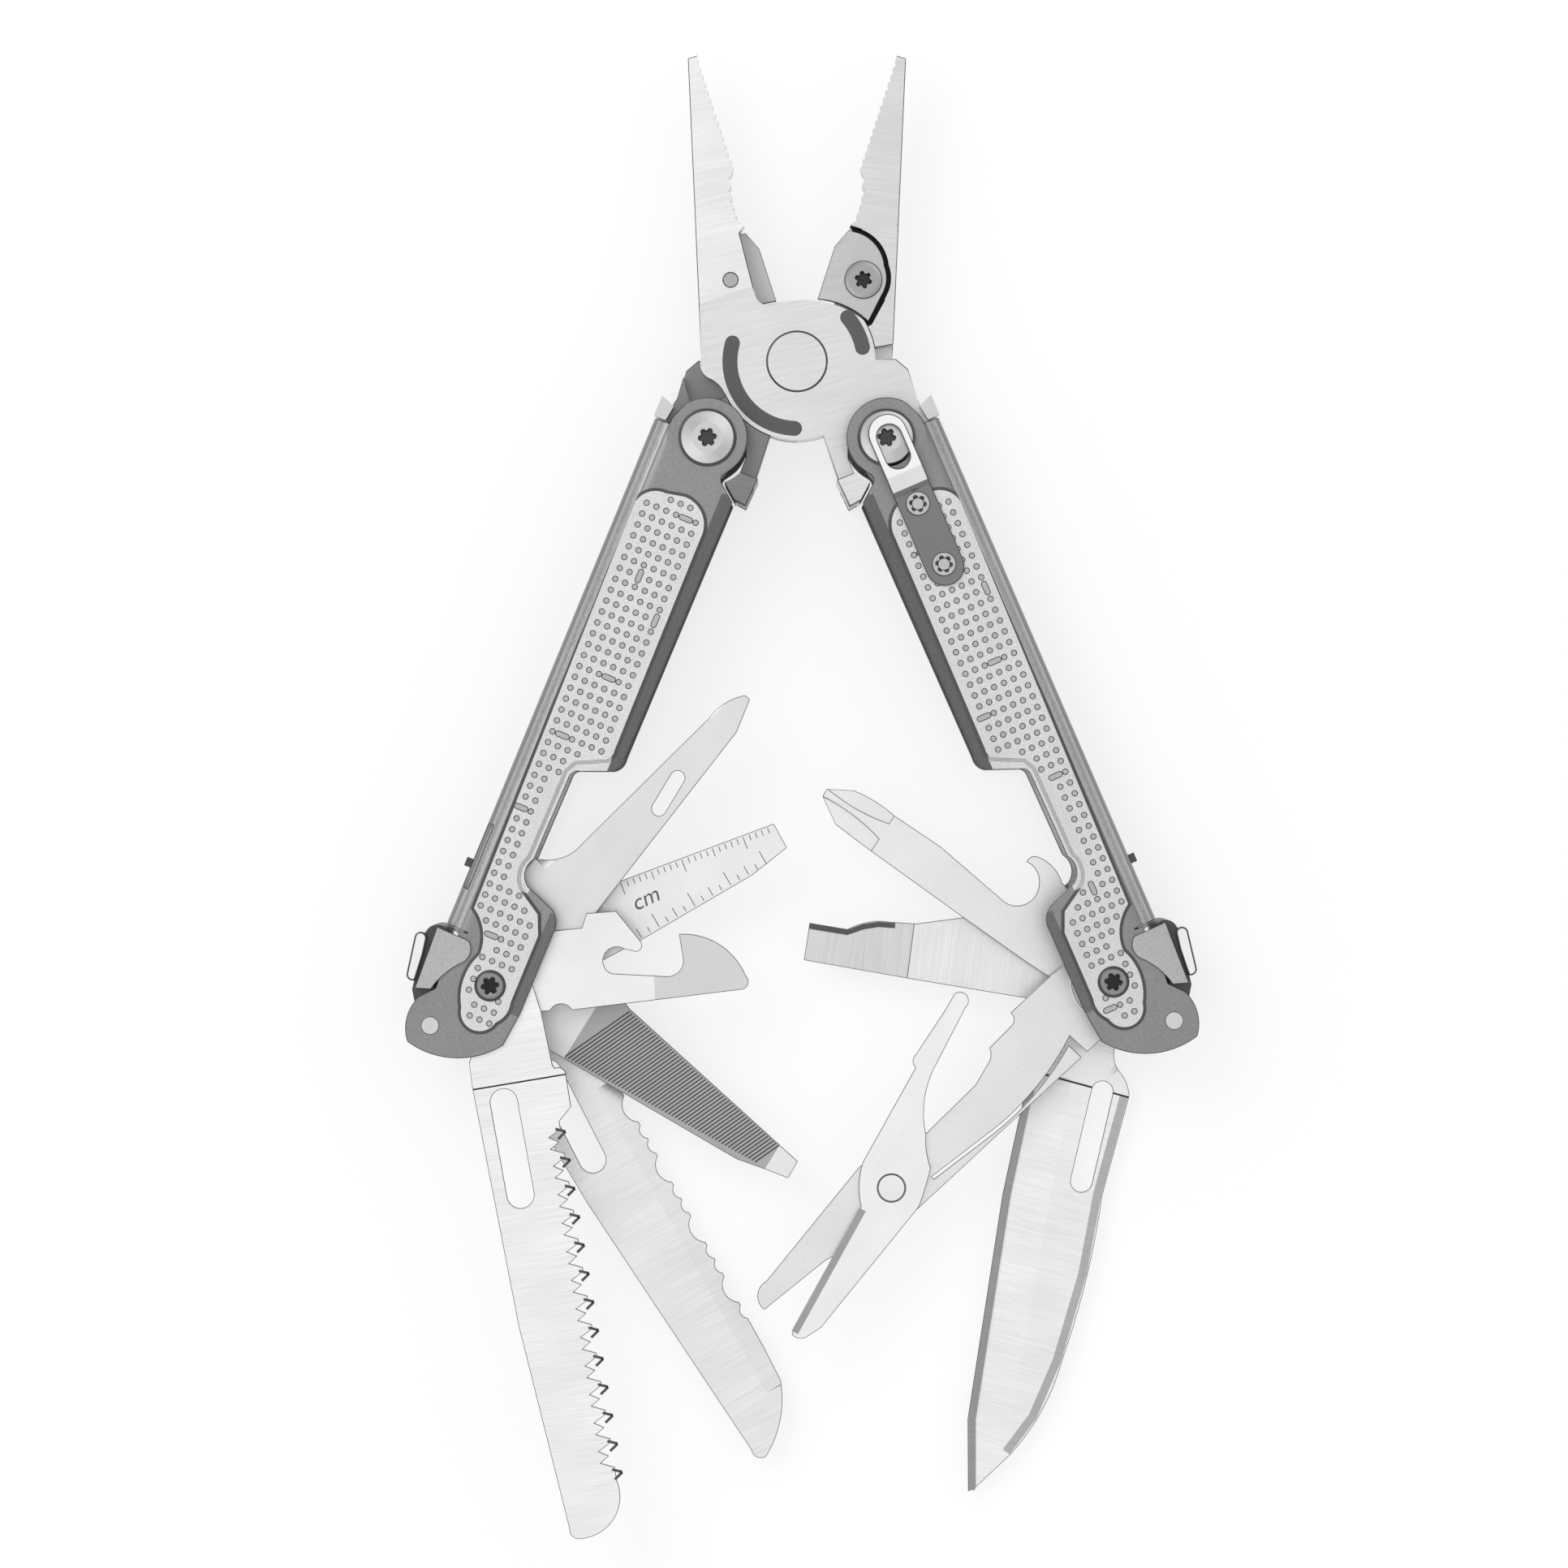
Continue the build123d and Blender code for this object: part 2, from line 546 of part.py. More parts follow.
def stop_block():
    """What the jaw's lug lands on when the handle is folded, by the front plate."""
    edge = LUG_END + FOLD + 1.5
    face = outline(polar(7.0, edge), polar(9.4, edge), (0.0, SPINE_V - 0.2), (0.0, -6.9))
    front = slab(face, SPINE_REACH, OUTSIDE - 0.4)
    front -= block(0.1, 1, -12, 0, 0, TOP)
    return front


def spring_tab():
    """The end of the lock spring, standing out of the spine."""
    return block(73.0, 74.4, SPINE_V - 1.0, SPINE_V + SPINE_WALL, SPINE_REACH - 0.7, SPINE_REACH)


def pocket_clip():
    base = TOP
    raised = OUTSIDE + HANDLE_HEAD_T + CLIP_RISE
    side = outline((CLIP_START_U, raised), (5.4, raised), (8.6, base), (CLIP_END_U, base),
                   (CLIP_END_U, base + CLIP_T), (9.2, base + CLIP_T),
                   (6.0, raised + CLIP_T), (CLIP_START_U, raised + CLIP_T))
    lengthwise = Plane(origin=(0, CLIP_V - CLIP_W, 0), x_dir=(1, 0, 0), z_dir=(0, -1, 0))
    strap = extrude(lengthwise * side, amount=2 * CLIP_W, dir=(0, 1, 0))
    radius = CLIP_W / 2
    strap &= slot((CLIP_START_U + radius, CLIP_V), (CLIP_END_U - radius, CLIP_V), radius, 0, 30)
    strap -= slot((0.2, CLIP_V), (3.4, CLIP_V), 1.9, 0, 30)
    for u in CLIP_SCREW_U:
        strap -= disc(u, CLIP_V, 1.0 + SEAT, 0, 30)
    return strap


def clip_screws():
    screws = []
    for u in CLIP_SCREW_U:
        head = disc(u, CLIP_V, CLIP_SCREW_R, TOP + CLIP_T, TOP + CLIP_T + CLIP_SCREW_T)
        stem = disc(u, CLIP_V, 1.0, TOP, TOP + CLIP_T)
        screws.append(head + stem - socket(u, CLIP_V, TOP + CLIP_T + CLIP_SCREW_T))
    return Compound(children=screws)


# ---- tools, each about its own middle thickness -------------------------------------------
def tool(face, thickness):
    """A flat tool: its blade, the round foot and the hole for the post."""
    half = thickness / 2
    body = slab(face, -half, half) + disc(0, 0, TANG_R, -half, half)
    return body - disc(0, 0, TOOL_POST_R + RUN, -half - 1, half + 1)


def saw():
    half = SAW_T / 2
    body = tool(outline((0, TANG_R), (5.3, 7.0), (13.5, 7.4), (14.0, 7.7), ((14.2, 8.8), (15.2, 9.2)),
                        (20.2, 9.2), (22.1, 7.1), (77.4, 7.2), ((83.0, 6.0), (LONGEST_TOOL, 0.3)),
                        ((84.9, -0.8), (83.6, -1.1)), (52.0, -3.9), (15.0, -5.2), (11.1, -5.1),
                        (9.6, -4.3), (4.4, -4.3)), SAW_T)
    body -= slot((17.9, -0.8), (32.2, -0.5), 2.05, -half - 1, half + 1)
    pitch = 4.4
    for index in range(12):
        x = 23.0 + pitch * index
        notch = outline((x, 7.6), (x + 1.3, 5.2), (x + 2.2, 6.6), (x + 3.1, 5.2), (x + 4.2, 7.6))
        body -= slab(notch, -half - 1, half + 1)
    return body


def can_opener():
    return tool(outline((0, TANG_R), (10.0, 8.0), (14.1, 8.3), (14.9, 10.5), (19.4, 10.7),
                        (23.0, 6.0), ((23.1, 4.9), (22.2, 4.4)), (20.4, 4.9),
                        ((17.2, 3.0), (18.4, 1.2)), (26.8, 0.5), ((28.7, 1.2), (29.4, 3.0)),
                        (28.9, 6.9), ((34.6, 5.4), (38.9, 0.2)), ((39.1, -1.3), (38.0, -1.9)),
                        (12.2, -4.2), ((10.6, -3.2), (8.9, -4.2)), (4.4, -4.4)), CAN_T)


def awl():
    half = AWL_T / 2
    body = tool(outline((0, TANG_R), (8.0, 7.8), (18.9, 7.9), ((20.9, 5.4), (25.3, 4.0)),
                        (52.5, 2.3), ((56.2, 1.9), (58.8, 0.5)), (58.8, -0.5), (53.7, -2.3),
                        (19.1, -4.6), (4.0, -4.7)), AWL_T)
    body -= slot((37.1, -1.2), (42.5, -0.2), 1.1, -half - 1, half + 1)
    return body - grind((58.8, 4.2), (19.0, 8.2), 2.6, AWL_T, 0.5)


def ruler_driver():
    return tool(outline((0, TANG_R), (24.8, 5.0), (49.6, 2.0), (49.7, -2.2), (43.1, -3.5),
                        (23.4, -4.5), (4.0, -4.7)), RULER_T)


def file_blade():
    return tool(outline((0, TANG_R), (18.8, 8.2), (19.8, 7.8), (54.2, 1.6), (54.3, -1.4),
                        (51.0, -2.0), (46.0, -3.1), (13.6, -4.1), (4.0, -4.7)), FILE_T)


def serrated_blade():
    half = SERRATED_T / 2
    body = tool(outline((0, TANG_R), (8.0, 6.6), (20.0, 8.4), (22.0, 9.0), (69.0, 9.0),
                        (75.0, 8.8), ((80.8, 5.4), (84.2, 1.1)), ((83.9, 0.1), (82.2, -0.4)),
                        (36.6, -4.0), (14.0, -4.7), (4.0, -4.7)), SERRATED_T)
    body -= slot((16.2, 0.5), (31.2, 0.0), 2.04, -half - 1, half + 1)
    body -= grind((75.6, 9.1), (22.0, 9.1), 3.2, SERRATED_T, 0.4)
    x = 24.6
    for radius in [2.7, 1.3, 1.3, 2.7, 1.3, 1.3, 2.7, 1.3, 1.3, 2.7, 1.3]:
        x += radius
        body -= disc(x, 9.0 + radius * 0.55, radius, -half - 1, half + 1)
        x += radius
    return body


def knife_blade():
    half = KNIFE_T / 2
    body = tool(outline((3.0, -5.4), (14.0, -6.4), (18.0, -7.7), (23.0, -7.7), (36.5, -7.0),
                        (71.4, -3.1), (82.2, -0.1), (81.2, 0.9), (74.9, 4.7),
                        ((68.0, 7.4), (59.0, 8.6)), ((45.0, 8.9), (32.5, 7.9)), (16.6, 7.9),
                        ((14.6, 6.8), (13.2, 5.2)), ((11.8, 4.2), (9.1, 3.9)), (4.6, 4.1)), KNIFE_T)
    body -= slot((17.1, 3.7), (31.3, 4.2), 1.65, -half - 1, half + 1)
    return body - grind((17.0, -7.9), (82.6, -2.0), 6.5, KNIFE_T, 0.3)


def phillips_driver():
    half = PHILLIPS_T / 2
    body = tool(outline((4.0, 4.7), (12.1, 4.8), (24.1, 4.4), (42.7, 3.6), (48.4, 3.2),
                        (52.4, 0.7), (52.5, -0.6), (48.9, -2.7), ((47.0, -3.0), (41.6, -2.9)),
                        (33.0, -2.8), (20.1, -1.1), ((17.3, -2.6), (17.2, -6.2)),
                        ((18.4, -7.6), (20.7, -8.1)), ((20.6, -9.0), (19.7, -9.7)),
                        ((16.6, -9.6), (14.4, -8.4)), (9.6, -7.4), (2.0, -5.8)), PHILLIPS_T)
    flute = outline((41.6, 5.0), (41.6, 1.4), ((44.0, 0.9), (53.6, 0.9)), (53.6, 5.0))
    for face in (flute, mirror(flute, about=Plane.XZ)):
        body -= slab(face, half - 0.7, half + 1)
        body -= slab(face, -half - 1, -half + 0.7)
    return body


def pry_driver():
    body = tool(outline((4.0, 4.7), (13.6, 4.5), (31.0, 3.9), (47.0, 3.2), (46.9, -2.6),
                        (41.0, -2.4), ((38.8, -3.6), (36.4, -4.3)), (30.7, -4.6),
                        (23.6, -6.5), (12.0, -7.0), (2.0, -5.8)), PRY_T)
    return body - grind((47.2, -6.0), (47.2, 6.0), 16.0, PRY_T, 0.7)


def scissors_frame():
    """The lower leaf, with the spring arm cut out of its body."""
    low = -SCISSORS_T / 2
    high = low + SCISSOR_LEAF
    face = outline((0, -TANG_R), (5.6, -7.1), (14.4, -7.4), ((14.7, -6.4), (15.8, -5.9)),
                   (20.5, -5.9), ((21.2, -4.9), (22.6, -4.3)), (26.0, -3.4), (36.4, -3.5),
                   (42.0, -6.4), (47.5, -7.1), (69.9, -4.8), ((72.6, -4.0), (73.2, -1.9)),
                   (61.1, -0.6), (50.0, 3.4), (45.4, 3.8), (14.3, 5.0), (3.0, 5.4))
    body = slab(face, low, high) + disc(0, 0, TANG_R, -SCISSORS_T / 2, SCISSORS_T / 2)
    body -= disc(0, 0, TOOL_POST_R + RUN, -3, 3)
    spring = outline((10.3, 6.0), (10.5, 1.5), ((19.3, 3.4), (30.9, 3.1)), (40.7, 1.8), (40.7, 2.3),
                     (30.9, 3.6), ((19.3, 3.9), (11.6, 2.4)), (11.5, 6.0))
    body -= slab(spring, -3, 3)
    return body - disc(RIVET_X, RIVET_Y, RIVET_R + SEAT, -3, 3)


def scissors_lever():
    """The upper leaf: thumb lever and blade in one."""
    high = SCISSORS_T / 2
    low = high - SCISSOR_LEAF
    face = outline((20.9, -14.9), (29.2, -13.2), ((30.2, -12.8), (30.6, -11.8)), (46.5, -7.3),
                   ((48.8, -5.8), (51.5, -2.7)), (72.8, 3.6), ((72.4, 5.0), (71.3, 5.6)),
                   (68.9, 6.1), (49.7, 4.1), (45.2, 3.6), ((42.4, 2.2), (39.8, 0.7)),
                   ((38.4, -1.6), (36.7, -3.4)), ((33.0, -7.4), (27.7, -10.0)), (18.6, -12.9),
                   ((17.2, -14.3), (18.4, -15.6)))
    body = slab(face, low, high)
    body -= disc(RIVET_X, RIVET_Y, RIVET_R + RUN, -3, 3)
    return body - disc(RIVET_X, RIVET_Y, RIVET_HEAD_R + RUN, high - RIVET_HEAD_T - RUN, 3)


def scissors_rivet():
    high = SCISSORS_T / 2
    return (disc(RIVET_X, RIVET_Y, RIVET_R, -high, high)
            + disc(RIVET_X, RIVET_Y, RIVET_HEAD_R, high - RIVET_HEAD_T, high))


# ---- the whole tool -----------------------------------------------------------------------
def handle_pieces(side, tools):
    """Every piece of one handle by node name, drawn as the left handle."""
    plate = front_plate()
    front = plate - heel_window() if "can_opener" in tools else plate
    pieces = {"front_plate": front,
              "handle_pivot": handle_pivot(),
              "tool_pivot": tool_pivot(),
              "tool_spacers": spacers(tools),
              "lock_lever": lock_lever(),
              "lock_button": lock_button(),
              "lock_pin": lock_pin(),
              "spring_tab": spring_tab()}
    paired = {"pivot_washers": pivot_washer(), "stop_blocks": stop_block()}
    if side == "left":
        pieces["back_plate"] = mirror(plate, about=Plane.XY)
        for name, piece in paired.items():
            pieces[name] = both_faces(piece)
        return {"left_" + name: LEFT_PLACE * piece for name, piece in pieces.items()}
    pieces["pocket_clip"] = pocket_clip()
    pieces["clip_screws"] = clip_screws()
    placed = {name: RIGHT_PLACE * right_hand(piece) for name, piece in pieces.items()}
    placed["back_plate"] = RIGHT_PLACE * Rot(180, 0, 0) * plate
    for name, piece in paired.items():
        front_one = right_hand(piece)
        placed[name] = RIGHT_PLACE * Compound(children=[front_one, Rot(180, 0, 0) * piece])
    return {"right_" + name: piece for name, piece in placed.items()}


def build():
    """All pieces by node name, placed about the plier pivot with the mid-plane at zero."""
    nodes = {"jaw_front": JAW_A_PLACE * jaw(True, RIGHT_SPLAY),
             "cutter_front": JAW_A_PLACE * cutter(True),
             "cutter_front_screw": JAW_A_PLACE * cutter_screw(True),
             "jaw_back": JAW_B_PLACE * mirror(jaw(False, LEFT_SPLAY), about=Plane.YZ),
             "cutter_back": JAW_B_PLACE * mirror(cutter(False), about=Plane.YZ),
             "cutter_back_screw": JAW_B_PLACE * mirror(cutter_screw(False), about=Plane.YZ),
             "plier_pivot": plier_pivot()}
    nodes |= handle_pieces("left", LEFT_TOOLS)
    nodes |= handle_pieces("right", RIGHT_TOOLS)
    for pivot, angle, name, layer, piece in [
            (LEFT_TOOL_PIVOT, SAW_ANGLE, "saw", "saw", saw()),
            (LEFT_TOOL_PIVOT, CAN_ANGLE, "can_opener", "can_opener", can_opener()),
            (LEFT_TOOL_PIVOT, AWL_ANGLE, "awl", "awl", awl()),
            (LEFT_TOOL_PIVOT, RULER_ANGLE, "ruler_driver", "ruler_driver", ruler_driver()),
            (LEFT_TOOL_PIVOT, FILE_ANGLE, "file", "file", file_blade()),
            (LEFT_TOOL_PIVOT, SERRATED_ANGLE, "serrated_blade", "serrated_blade", serrated_blade()),
            (RIGHT_TOOL_PIVOT, SCISSORS_ANGLE, "scissors_frame", "scissors", scissors_frame()),
            (RIGHT_TOOL_PIVOT, SCISSORS_ANGLE, "scissors_lever", "scissors", scissors_lever()),
            (RIGHT_TOOL_PIVOT, SCISSORS_ANGLE, "scissors_rivet", "scissors", scissors_rivet()),
            (RIGHT_TOOL_PIVOT, PHILLIPS_ANGLE, "phillips_driver", "phillips_driver", phillips_driver()),
            (RIGHT_TOOL_PIVOT, PRY_ANGLE, "pry_driver", "pry_driver", pry_driver()),
            (RIGHT_TOOL_PIVOT, KNIFE_ANGLE, "knife_blade", "knife_blade", knife_blade())]:
        low, high = level(layer)
        nodes[name] = Pos(pivot.X, pivot.Y, (low + high) / 2) * Rot(0, 0, angle) * piece
    return nodes


NODES = build()
BOXES = [piece.bounding_box() for piece in NODES.values()]
LOW = [min(tuple(box.min)[axis] for box in BOXES) for axis in range(3)]
HIGH = [max(tuple(box.max)[axis] for box in BOXES) for axis in range(3)]
# The origin is under the middle of the tool, on the surface that it lies on.
ORIGIN = Pos(-(LOW[0] + HIGH[0]) / 2, -(LOW[1] + HIGH[1]) / 2, -LOW[2])

if __name__ == "__main__":
    os.makedirs("parts", exist_ok=True)
    for node_name, node in NODES.items():
        export_step(ORIGIN * node, os.path.join("parts", node_name + ".step"))
    print("size", [round(top - low, 2) for low, top in zip(LOW, HIGH)])
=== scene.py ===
import json
import math

import bmesh
import bpy
from bpy.props import (BoolProperty, FloatProperty, FloatVectorProperty, IntProperty,
                       PointerProperty)
from mathutils import Matrix, Vector


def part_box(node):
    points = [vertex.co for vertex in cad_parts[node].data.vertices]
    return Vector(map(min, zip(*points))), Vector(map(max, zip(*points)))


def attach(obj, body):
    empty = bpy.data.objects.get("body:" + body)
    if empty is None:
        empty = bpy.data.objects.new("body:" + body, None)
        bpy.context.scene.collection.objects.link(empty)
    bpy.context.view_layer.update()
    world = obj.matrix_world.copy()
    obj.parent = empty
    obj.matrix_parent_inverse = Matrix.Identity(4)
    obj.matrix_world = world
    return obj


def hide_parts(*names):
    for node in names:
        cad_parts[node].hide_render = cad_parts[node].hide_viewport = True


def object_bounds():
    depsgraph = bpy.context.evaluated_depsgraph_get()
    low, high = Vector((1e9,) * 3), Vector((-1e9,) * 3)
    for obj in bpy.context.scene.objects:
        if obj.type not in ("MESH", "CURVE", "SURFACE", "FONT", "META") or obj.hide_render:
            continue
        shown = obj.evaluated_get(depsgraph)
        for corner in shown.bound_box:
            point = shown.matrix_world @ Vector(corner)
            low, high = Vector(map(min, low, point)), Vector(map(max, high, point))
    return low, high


bl_info = {
    "name": "Folding Multi Tool Finish",
    "version": (1, 0, 0),
    "blender": (4, 5, 0),
    "location": "View3D > Sidebar > Multi Tool",
    "description": "Edges, grip pattern, cuts, marks and steel finishes of a folding multi tool",
    "category": "Object",
}

MM = 0.001
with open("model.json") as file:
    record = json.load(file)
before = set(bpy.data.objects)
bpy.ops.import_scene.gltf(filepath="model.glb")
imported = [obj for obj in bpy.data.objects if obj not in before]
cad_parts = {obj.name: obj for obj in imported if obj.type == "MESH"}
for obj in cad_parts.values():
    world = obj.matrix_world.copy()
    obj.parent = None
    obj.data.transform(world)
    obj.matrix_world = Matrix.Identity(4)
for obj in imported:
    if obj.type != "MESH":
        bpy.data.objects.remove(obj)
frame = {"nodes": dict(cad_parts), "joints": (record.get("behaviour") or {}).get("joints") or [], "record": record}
RECORD = frame["record"]
JOINTS = {joint["name"]: joint for joint in frame["joints"]}
BODY_OF = {node: body for body, nodes in RECORD["behaviour"]["bodies"].items() for node in nodes}
CAD_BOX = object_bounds()

PIVOT_SPAN = 89.7  # handle pivot to tool pivot along the handle, in millimetres
TOOL_V = 1.25  # and towards the open side
PANEL_RISE = 0.5  # the grip panel over its border
ACROSS = math.pi / 2  # grain that runs across a tool
# corner of each tool that is furthest from its pivot, in the tool's own frame, millimetres
TOOL_TIPS = {
    "saw": (85.4, 0.3),
    "can_opener": (39.06, -1.3),
    "awl": (58.8, 0.5),
    "ruler_driver": (49.7, -2.2),
    "file": (54.3, -1.4),
    "serrated_blade": (84.2, 1.1),
    "scissors_frame": (73.2, -1.9),
    "phillips_driver": (52.5, -0.6),
    "pry_driver": (47.0, 3.2),
    "knife_blade": (82.2, -0.1),
}


# ---- places, read from the frame ----
def joint_place(name):
    return Vector(JOINTS[name]["pos_m"])


def local_frame(origin, turn, side=1.0):
    """Matrix to the world from a frame on the ground under origin. Side -1 mirrors its Y."""
    return (Matrix.Translation((origin.x, origin.y, 0)) @ Matrix.Rotation(turn, 4, "Z")
            @ Matrix.Diagonal((1.0, side, 1.0, 1.0)))


def turn_of(place):
    """The direction of a frame's X."""
    return math.atan2(place[1][0], place[0][0])


def raised(place, point, level):
    """A point of a frame, in millimetres, raised to a level of the world."""
    where = place @ Vector((point[0] * MM, point[1] * MM, 0))
    where.z = level
    return where


def handle_frame(fold, swing, side):
    """Frame of a handle: +X towards the tools, +Y towards its open side. Side is 1 or -1."""
    run = joint_place(swing) - joint_place(fold)
    turn = math.atan2(run.y, run.x) - side * math.atan2(TOOL_V, PIVOT_SPAN)
    return local_frame(joint_place(fold), turn, side)


def tool_frame(node, tip):
    """Frame of a tool at its pivot, turned so that its furthest corner lies at tip."""
    pivot = joint_place(BODY_OF[node] + "_swing")
    corners = frame["nodes"][node].data.vertices
    far = max(corners, key=lambda v: (v.co.xy - pivot.xy).length).co
    turn = math.atan2(far.y - pivot.y, far.x - pivot.x) - math.atan2(tip[1], tip[0])
    return local_frame(pivot, turn)


def top_of(node):
    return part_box(node)[1].z


def foot_of(node):
    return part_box(node)[0].z


def head_of(node, up=1.0):
    """The middle of a screw's face, on its front or its back."""
    low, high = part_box(node)
    middle = (Vector(low) + Vector(high)) / 2
    return Vector((middle.x, middle.y, high[2] if up > 0 else low[2]))


LEFT_HANDLE = handle_frame("left_handle_fold", "saw_swing", 1.0)
RIGHT_HANDLE = handle_frame("right_handle_fold", "scissors_swing", -1.0)
TOOL_FRAMES = {node: tool_frame(node, tip) for node, tip in TOOL_TIPS.items()}
TOOL_FRAMES["scissors_lever"] = TOOL_FRAMES["scissors_frame"]
PLIER_PIVOT = joint_place("plier_pivot_turn")
MID_Z = (top_of("left_front_plate") + foot_of("left_back_plate")) / 2
PANEL_Z = top_of("left_front_plate")
BORDER_Z = PANEL_Z - PANEL_RISE * MM


# ---- settings ----
def fraction(name, description, default):
    return FloatProperty(name=name, description=description, default=default, min=0, max=1,
                         subtype="FACTOR")


def measure(name, description, millimetres):
    return FloatProperty(name=name, description=description, default=millimetres * MM, min=0,
                         unit="LENGTH")


class SteelSettings(bpy.types.PropertyGroup):
    blade_tone: fraction("Blade Tone", "Brightness of the blades and tools", 0.80)
    jaw_tone: fraction("Jaw Tone", "Brightness of the plier head", 0.66)
    border_tone: fraction("Border Tone", "Brightness of the plate borders", 0.27)
    panel_tone: fraction("Panel Tone", "Brightness of the grip panels", 0.66)
    dark_tone: fraction("Dark Tone", "Brightness of the dark steel parts", 0.09)
    # this tone is painted shade on the broken edges
    edge_shade_tone: fraction("Edge Tone", "Brightness of the broken edges", 0.10)
    blade_edge: measure("Blade Edge", "Width of the broken edges of the tools", 0.10)
    jaw_edge: measure("Jaw Edge", "Width of the broken edges of the jaws", 0.13)
    plate_edge: measure("Plate Edge", "Width of the broken edges of the plates", 0.14)


class GripSettings(bpy.types.PropertyGroup):
    pitch_along: measure("Pitch Along", "Between dots along the handle", 1.79)
    pitch_across: measure("Pitch Across", "Between dots across the handle", 1.61)
    ring_radius: measure("Dot Radius", "Middle of the ring round a dot", 0.42)
    rim: measure("Rim", "Radius of the ring's own section", 0.085)
    pill_length: measure("Pill Length", "Length of the long marks", 2.2)
    pill_share: fraction("Pill Share", "Share of the dots that are long marks", 0.035)
    seed: IntProperty(name="Seed", description="Which dots are long marks", default=4, min=0)


class CutSettings(bpy.types.PropertyGroup):
    file_cuts: IntProperty(name="File Cuts", description="Number of cuts across the file",
                           default=58, min=2)
    cut_width: measure("Cut Width", "Width of one cut of the file", 0.24)
    mark_width: measure("Mark Width", "Width of a mark on the ruler", 0.13)
    lettering: BoolProperty(name="Unit Letters", description="Puts the unit on the ruler",
                            default=True)


class StageSettings(bpy.types.PropertyGroup):
    floor_size: FloatProperty(name="Floor Size", description="Side of the square floor",
                              default=6.0, min=1, unit="LENGTH")
    floor_tone: fraction("Floor Tone", "How much lamp light the floor returns", 0.30)
    floor_lift: fraction("Floor Lift", "Light that the floor adds for the eye", 0.72)
    view_width: measure("View Width", "Width that the camera sees", 238.5)
    lens: FloatProperty(name="Lens", description="Focal length in millimetres",
                        default=150.0, min=20)
    key_power: FloatProperty(name="Key Light", description="Power of the softbox in watts",
                             default=1.9, min=0, unit="POWER")
    paper: FloatVectorProperty(name="Paper", description="Colour of the floor", size=3,
                               default=(1.0, 1.0, 1.0), subtype="COLOR")


# ---- materials ----
class Nodes:
    """Short calls for laying out nodes."""

    def __init__(self, tree):
        self.tree = tree

    def add(self, kind, **values):
        node = self.tree.nodes.new(kind)
        for key, value in values.items():
            setattr(node, key, value)
        return node

    def feed(self, socket, value):
        if isinstance(value, bpy.types.NodeSocket):
            self.tree.links.new(value, socket)
        else:
            socket.default_value = value

    def node(self, kind, settings=None, **values):
        """A node with its inputs set by name. Spaces in a name are written as underscores."""
        node = self.add(kind, **(settings or {}))
        for key, value in values.items():
            self.feed(node.inputs[key.replace("_", " ")], value)
        return node

    def math(self, operation, first, second=0.0):
        node = self.add("ShaderNodeMath", operation=operation)
        self.feed(node.inputs[0], first)
        self.feed(node.inputs[1], second)
        return node.outputs[0]

    def plus(self, first, second):
        return self.math("ADD", first, second)

    def minus(self, first, second):
        return self.math("SUBTRACT", first, second)

    def times(self, first, second):
        return self.math("MULTIPLY", first, second)

    def below(self, value, limit):
        return self.math("LESS_THAN", value, limit)


class FinishNodes(Nodes):
    """Nodes of a material."""

    def mix(self, factor, first, second):
        node = self.add("ShaderNodeMix", data_type="FLOAT")
        self.feed(node.inputs[0], factor)
        self.feed(node.inputs[2], first)
        self.feed(node.inputs[3], second)
        return node.outputs[0]

    def spread(self, value, low, high):
        """Stretches the middle of a noise, 0.3 to 0.7, over low to high."""
        return self.node("ShaderNodeMapRange", Value=value, From_Min=0.3, From_Max=0.7,
                         To_Min=low, To_Max=high).outputs[0]

    def placed(self, place, size):
        """Object coordinates in the frame that place gives, counted in units of size."""
        side = 1.0 if place.determinant() > 0 else -1.0
        coords = self.add("ShaderNodeTexCoord")
        return self.node("ShaderNodeMapping", {"vector_type": "TEXTURE"},
                         Vector=coords.outputs["Object"], Location=place.to_translation(),
                         Rotation=(0.0, 0.0, turn_of(place)),
                         Scale=(size[0], side * size[1], size[2])).outputs[0]

    def noise(self, place, size, detail):
        return self.node("ShaderNodeTexNoise", Scale=1.0, Detail=detail,
                         Vector=self.placed(place, size)).outputs["Fac"]

    def axes(self, place):
        """X, Y and Z in millimetres, in the frame that place gives."""
        split = self.node("ShaderNodeSeparateXYZ", Vector=self.placed(place, (MM, MM, MM)))
        return split.outputs

    def within(self, value, low, high):
        above = self.math("GREATER_THAN", value, low)
        return self.times(above, self.below(value, high))

    def colour(self, socket, level, shares):
        """Gives a socket the colour that has a share of the level in each channel."""
        node = self.add("ShaderNodeCombineColor")
        for channel, share in zip(node.inputs, shares):
            self.feed(channel, self.times(level, share))
        self.feed(socket, node.outputs[0])


WORLD = Matrix.Identity(4)
# size of the grain in millimetres, its contrast, and its depth in metres
GRAINS = {
    "brushed": ((9.0, 0.16, 2.0), 0.10, 0.000012),
    "lapped": ((6.0, 0.10, 2.0), 0.05, 0.000006),
    "blasted": ((0.16, 0.16, 0.16), 0.07, 0.000010),
    "tumbled": ((0.30, 0.30, 0.30), 0.16, 0.000016),
    "smooth": ((3.0, 3.0, 3.0), 0.03, 0.000001),
}
CLOUDS = (11 * MM, 7 * MM, 7 * MM)  # of the soft patches on all steel
CLOUD_RANGE = (0.965, 1.03)  # how much darker and lighter they are
ROUGHNESS_RANGE = (0.85, 1.15)  # how the roughness varies with the grain
BLUE_SHARE = 1.004  # steel is a trace bluer than grey
# a screw's head, in millimetres from the middle of its face
SOCKET_R, SOCKET_DEPTH = 1.5, (0.3, 1.4)
TURNED_FROM_R = 2.3  # turning marks and the painted sheen show outside this radius
RINGS_PER_MM = 40.0
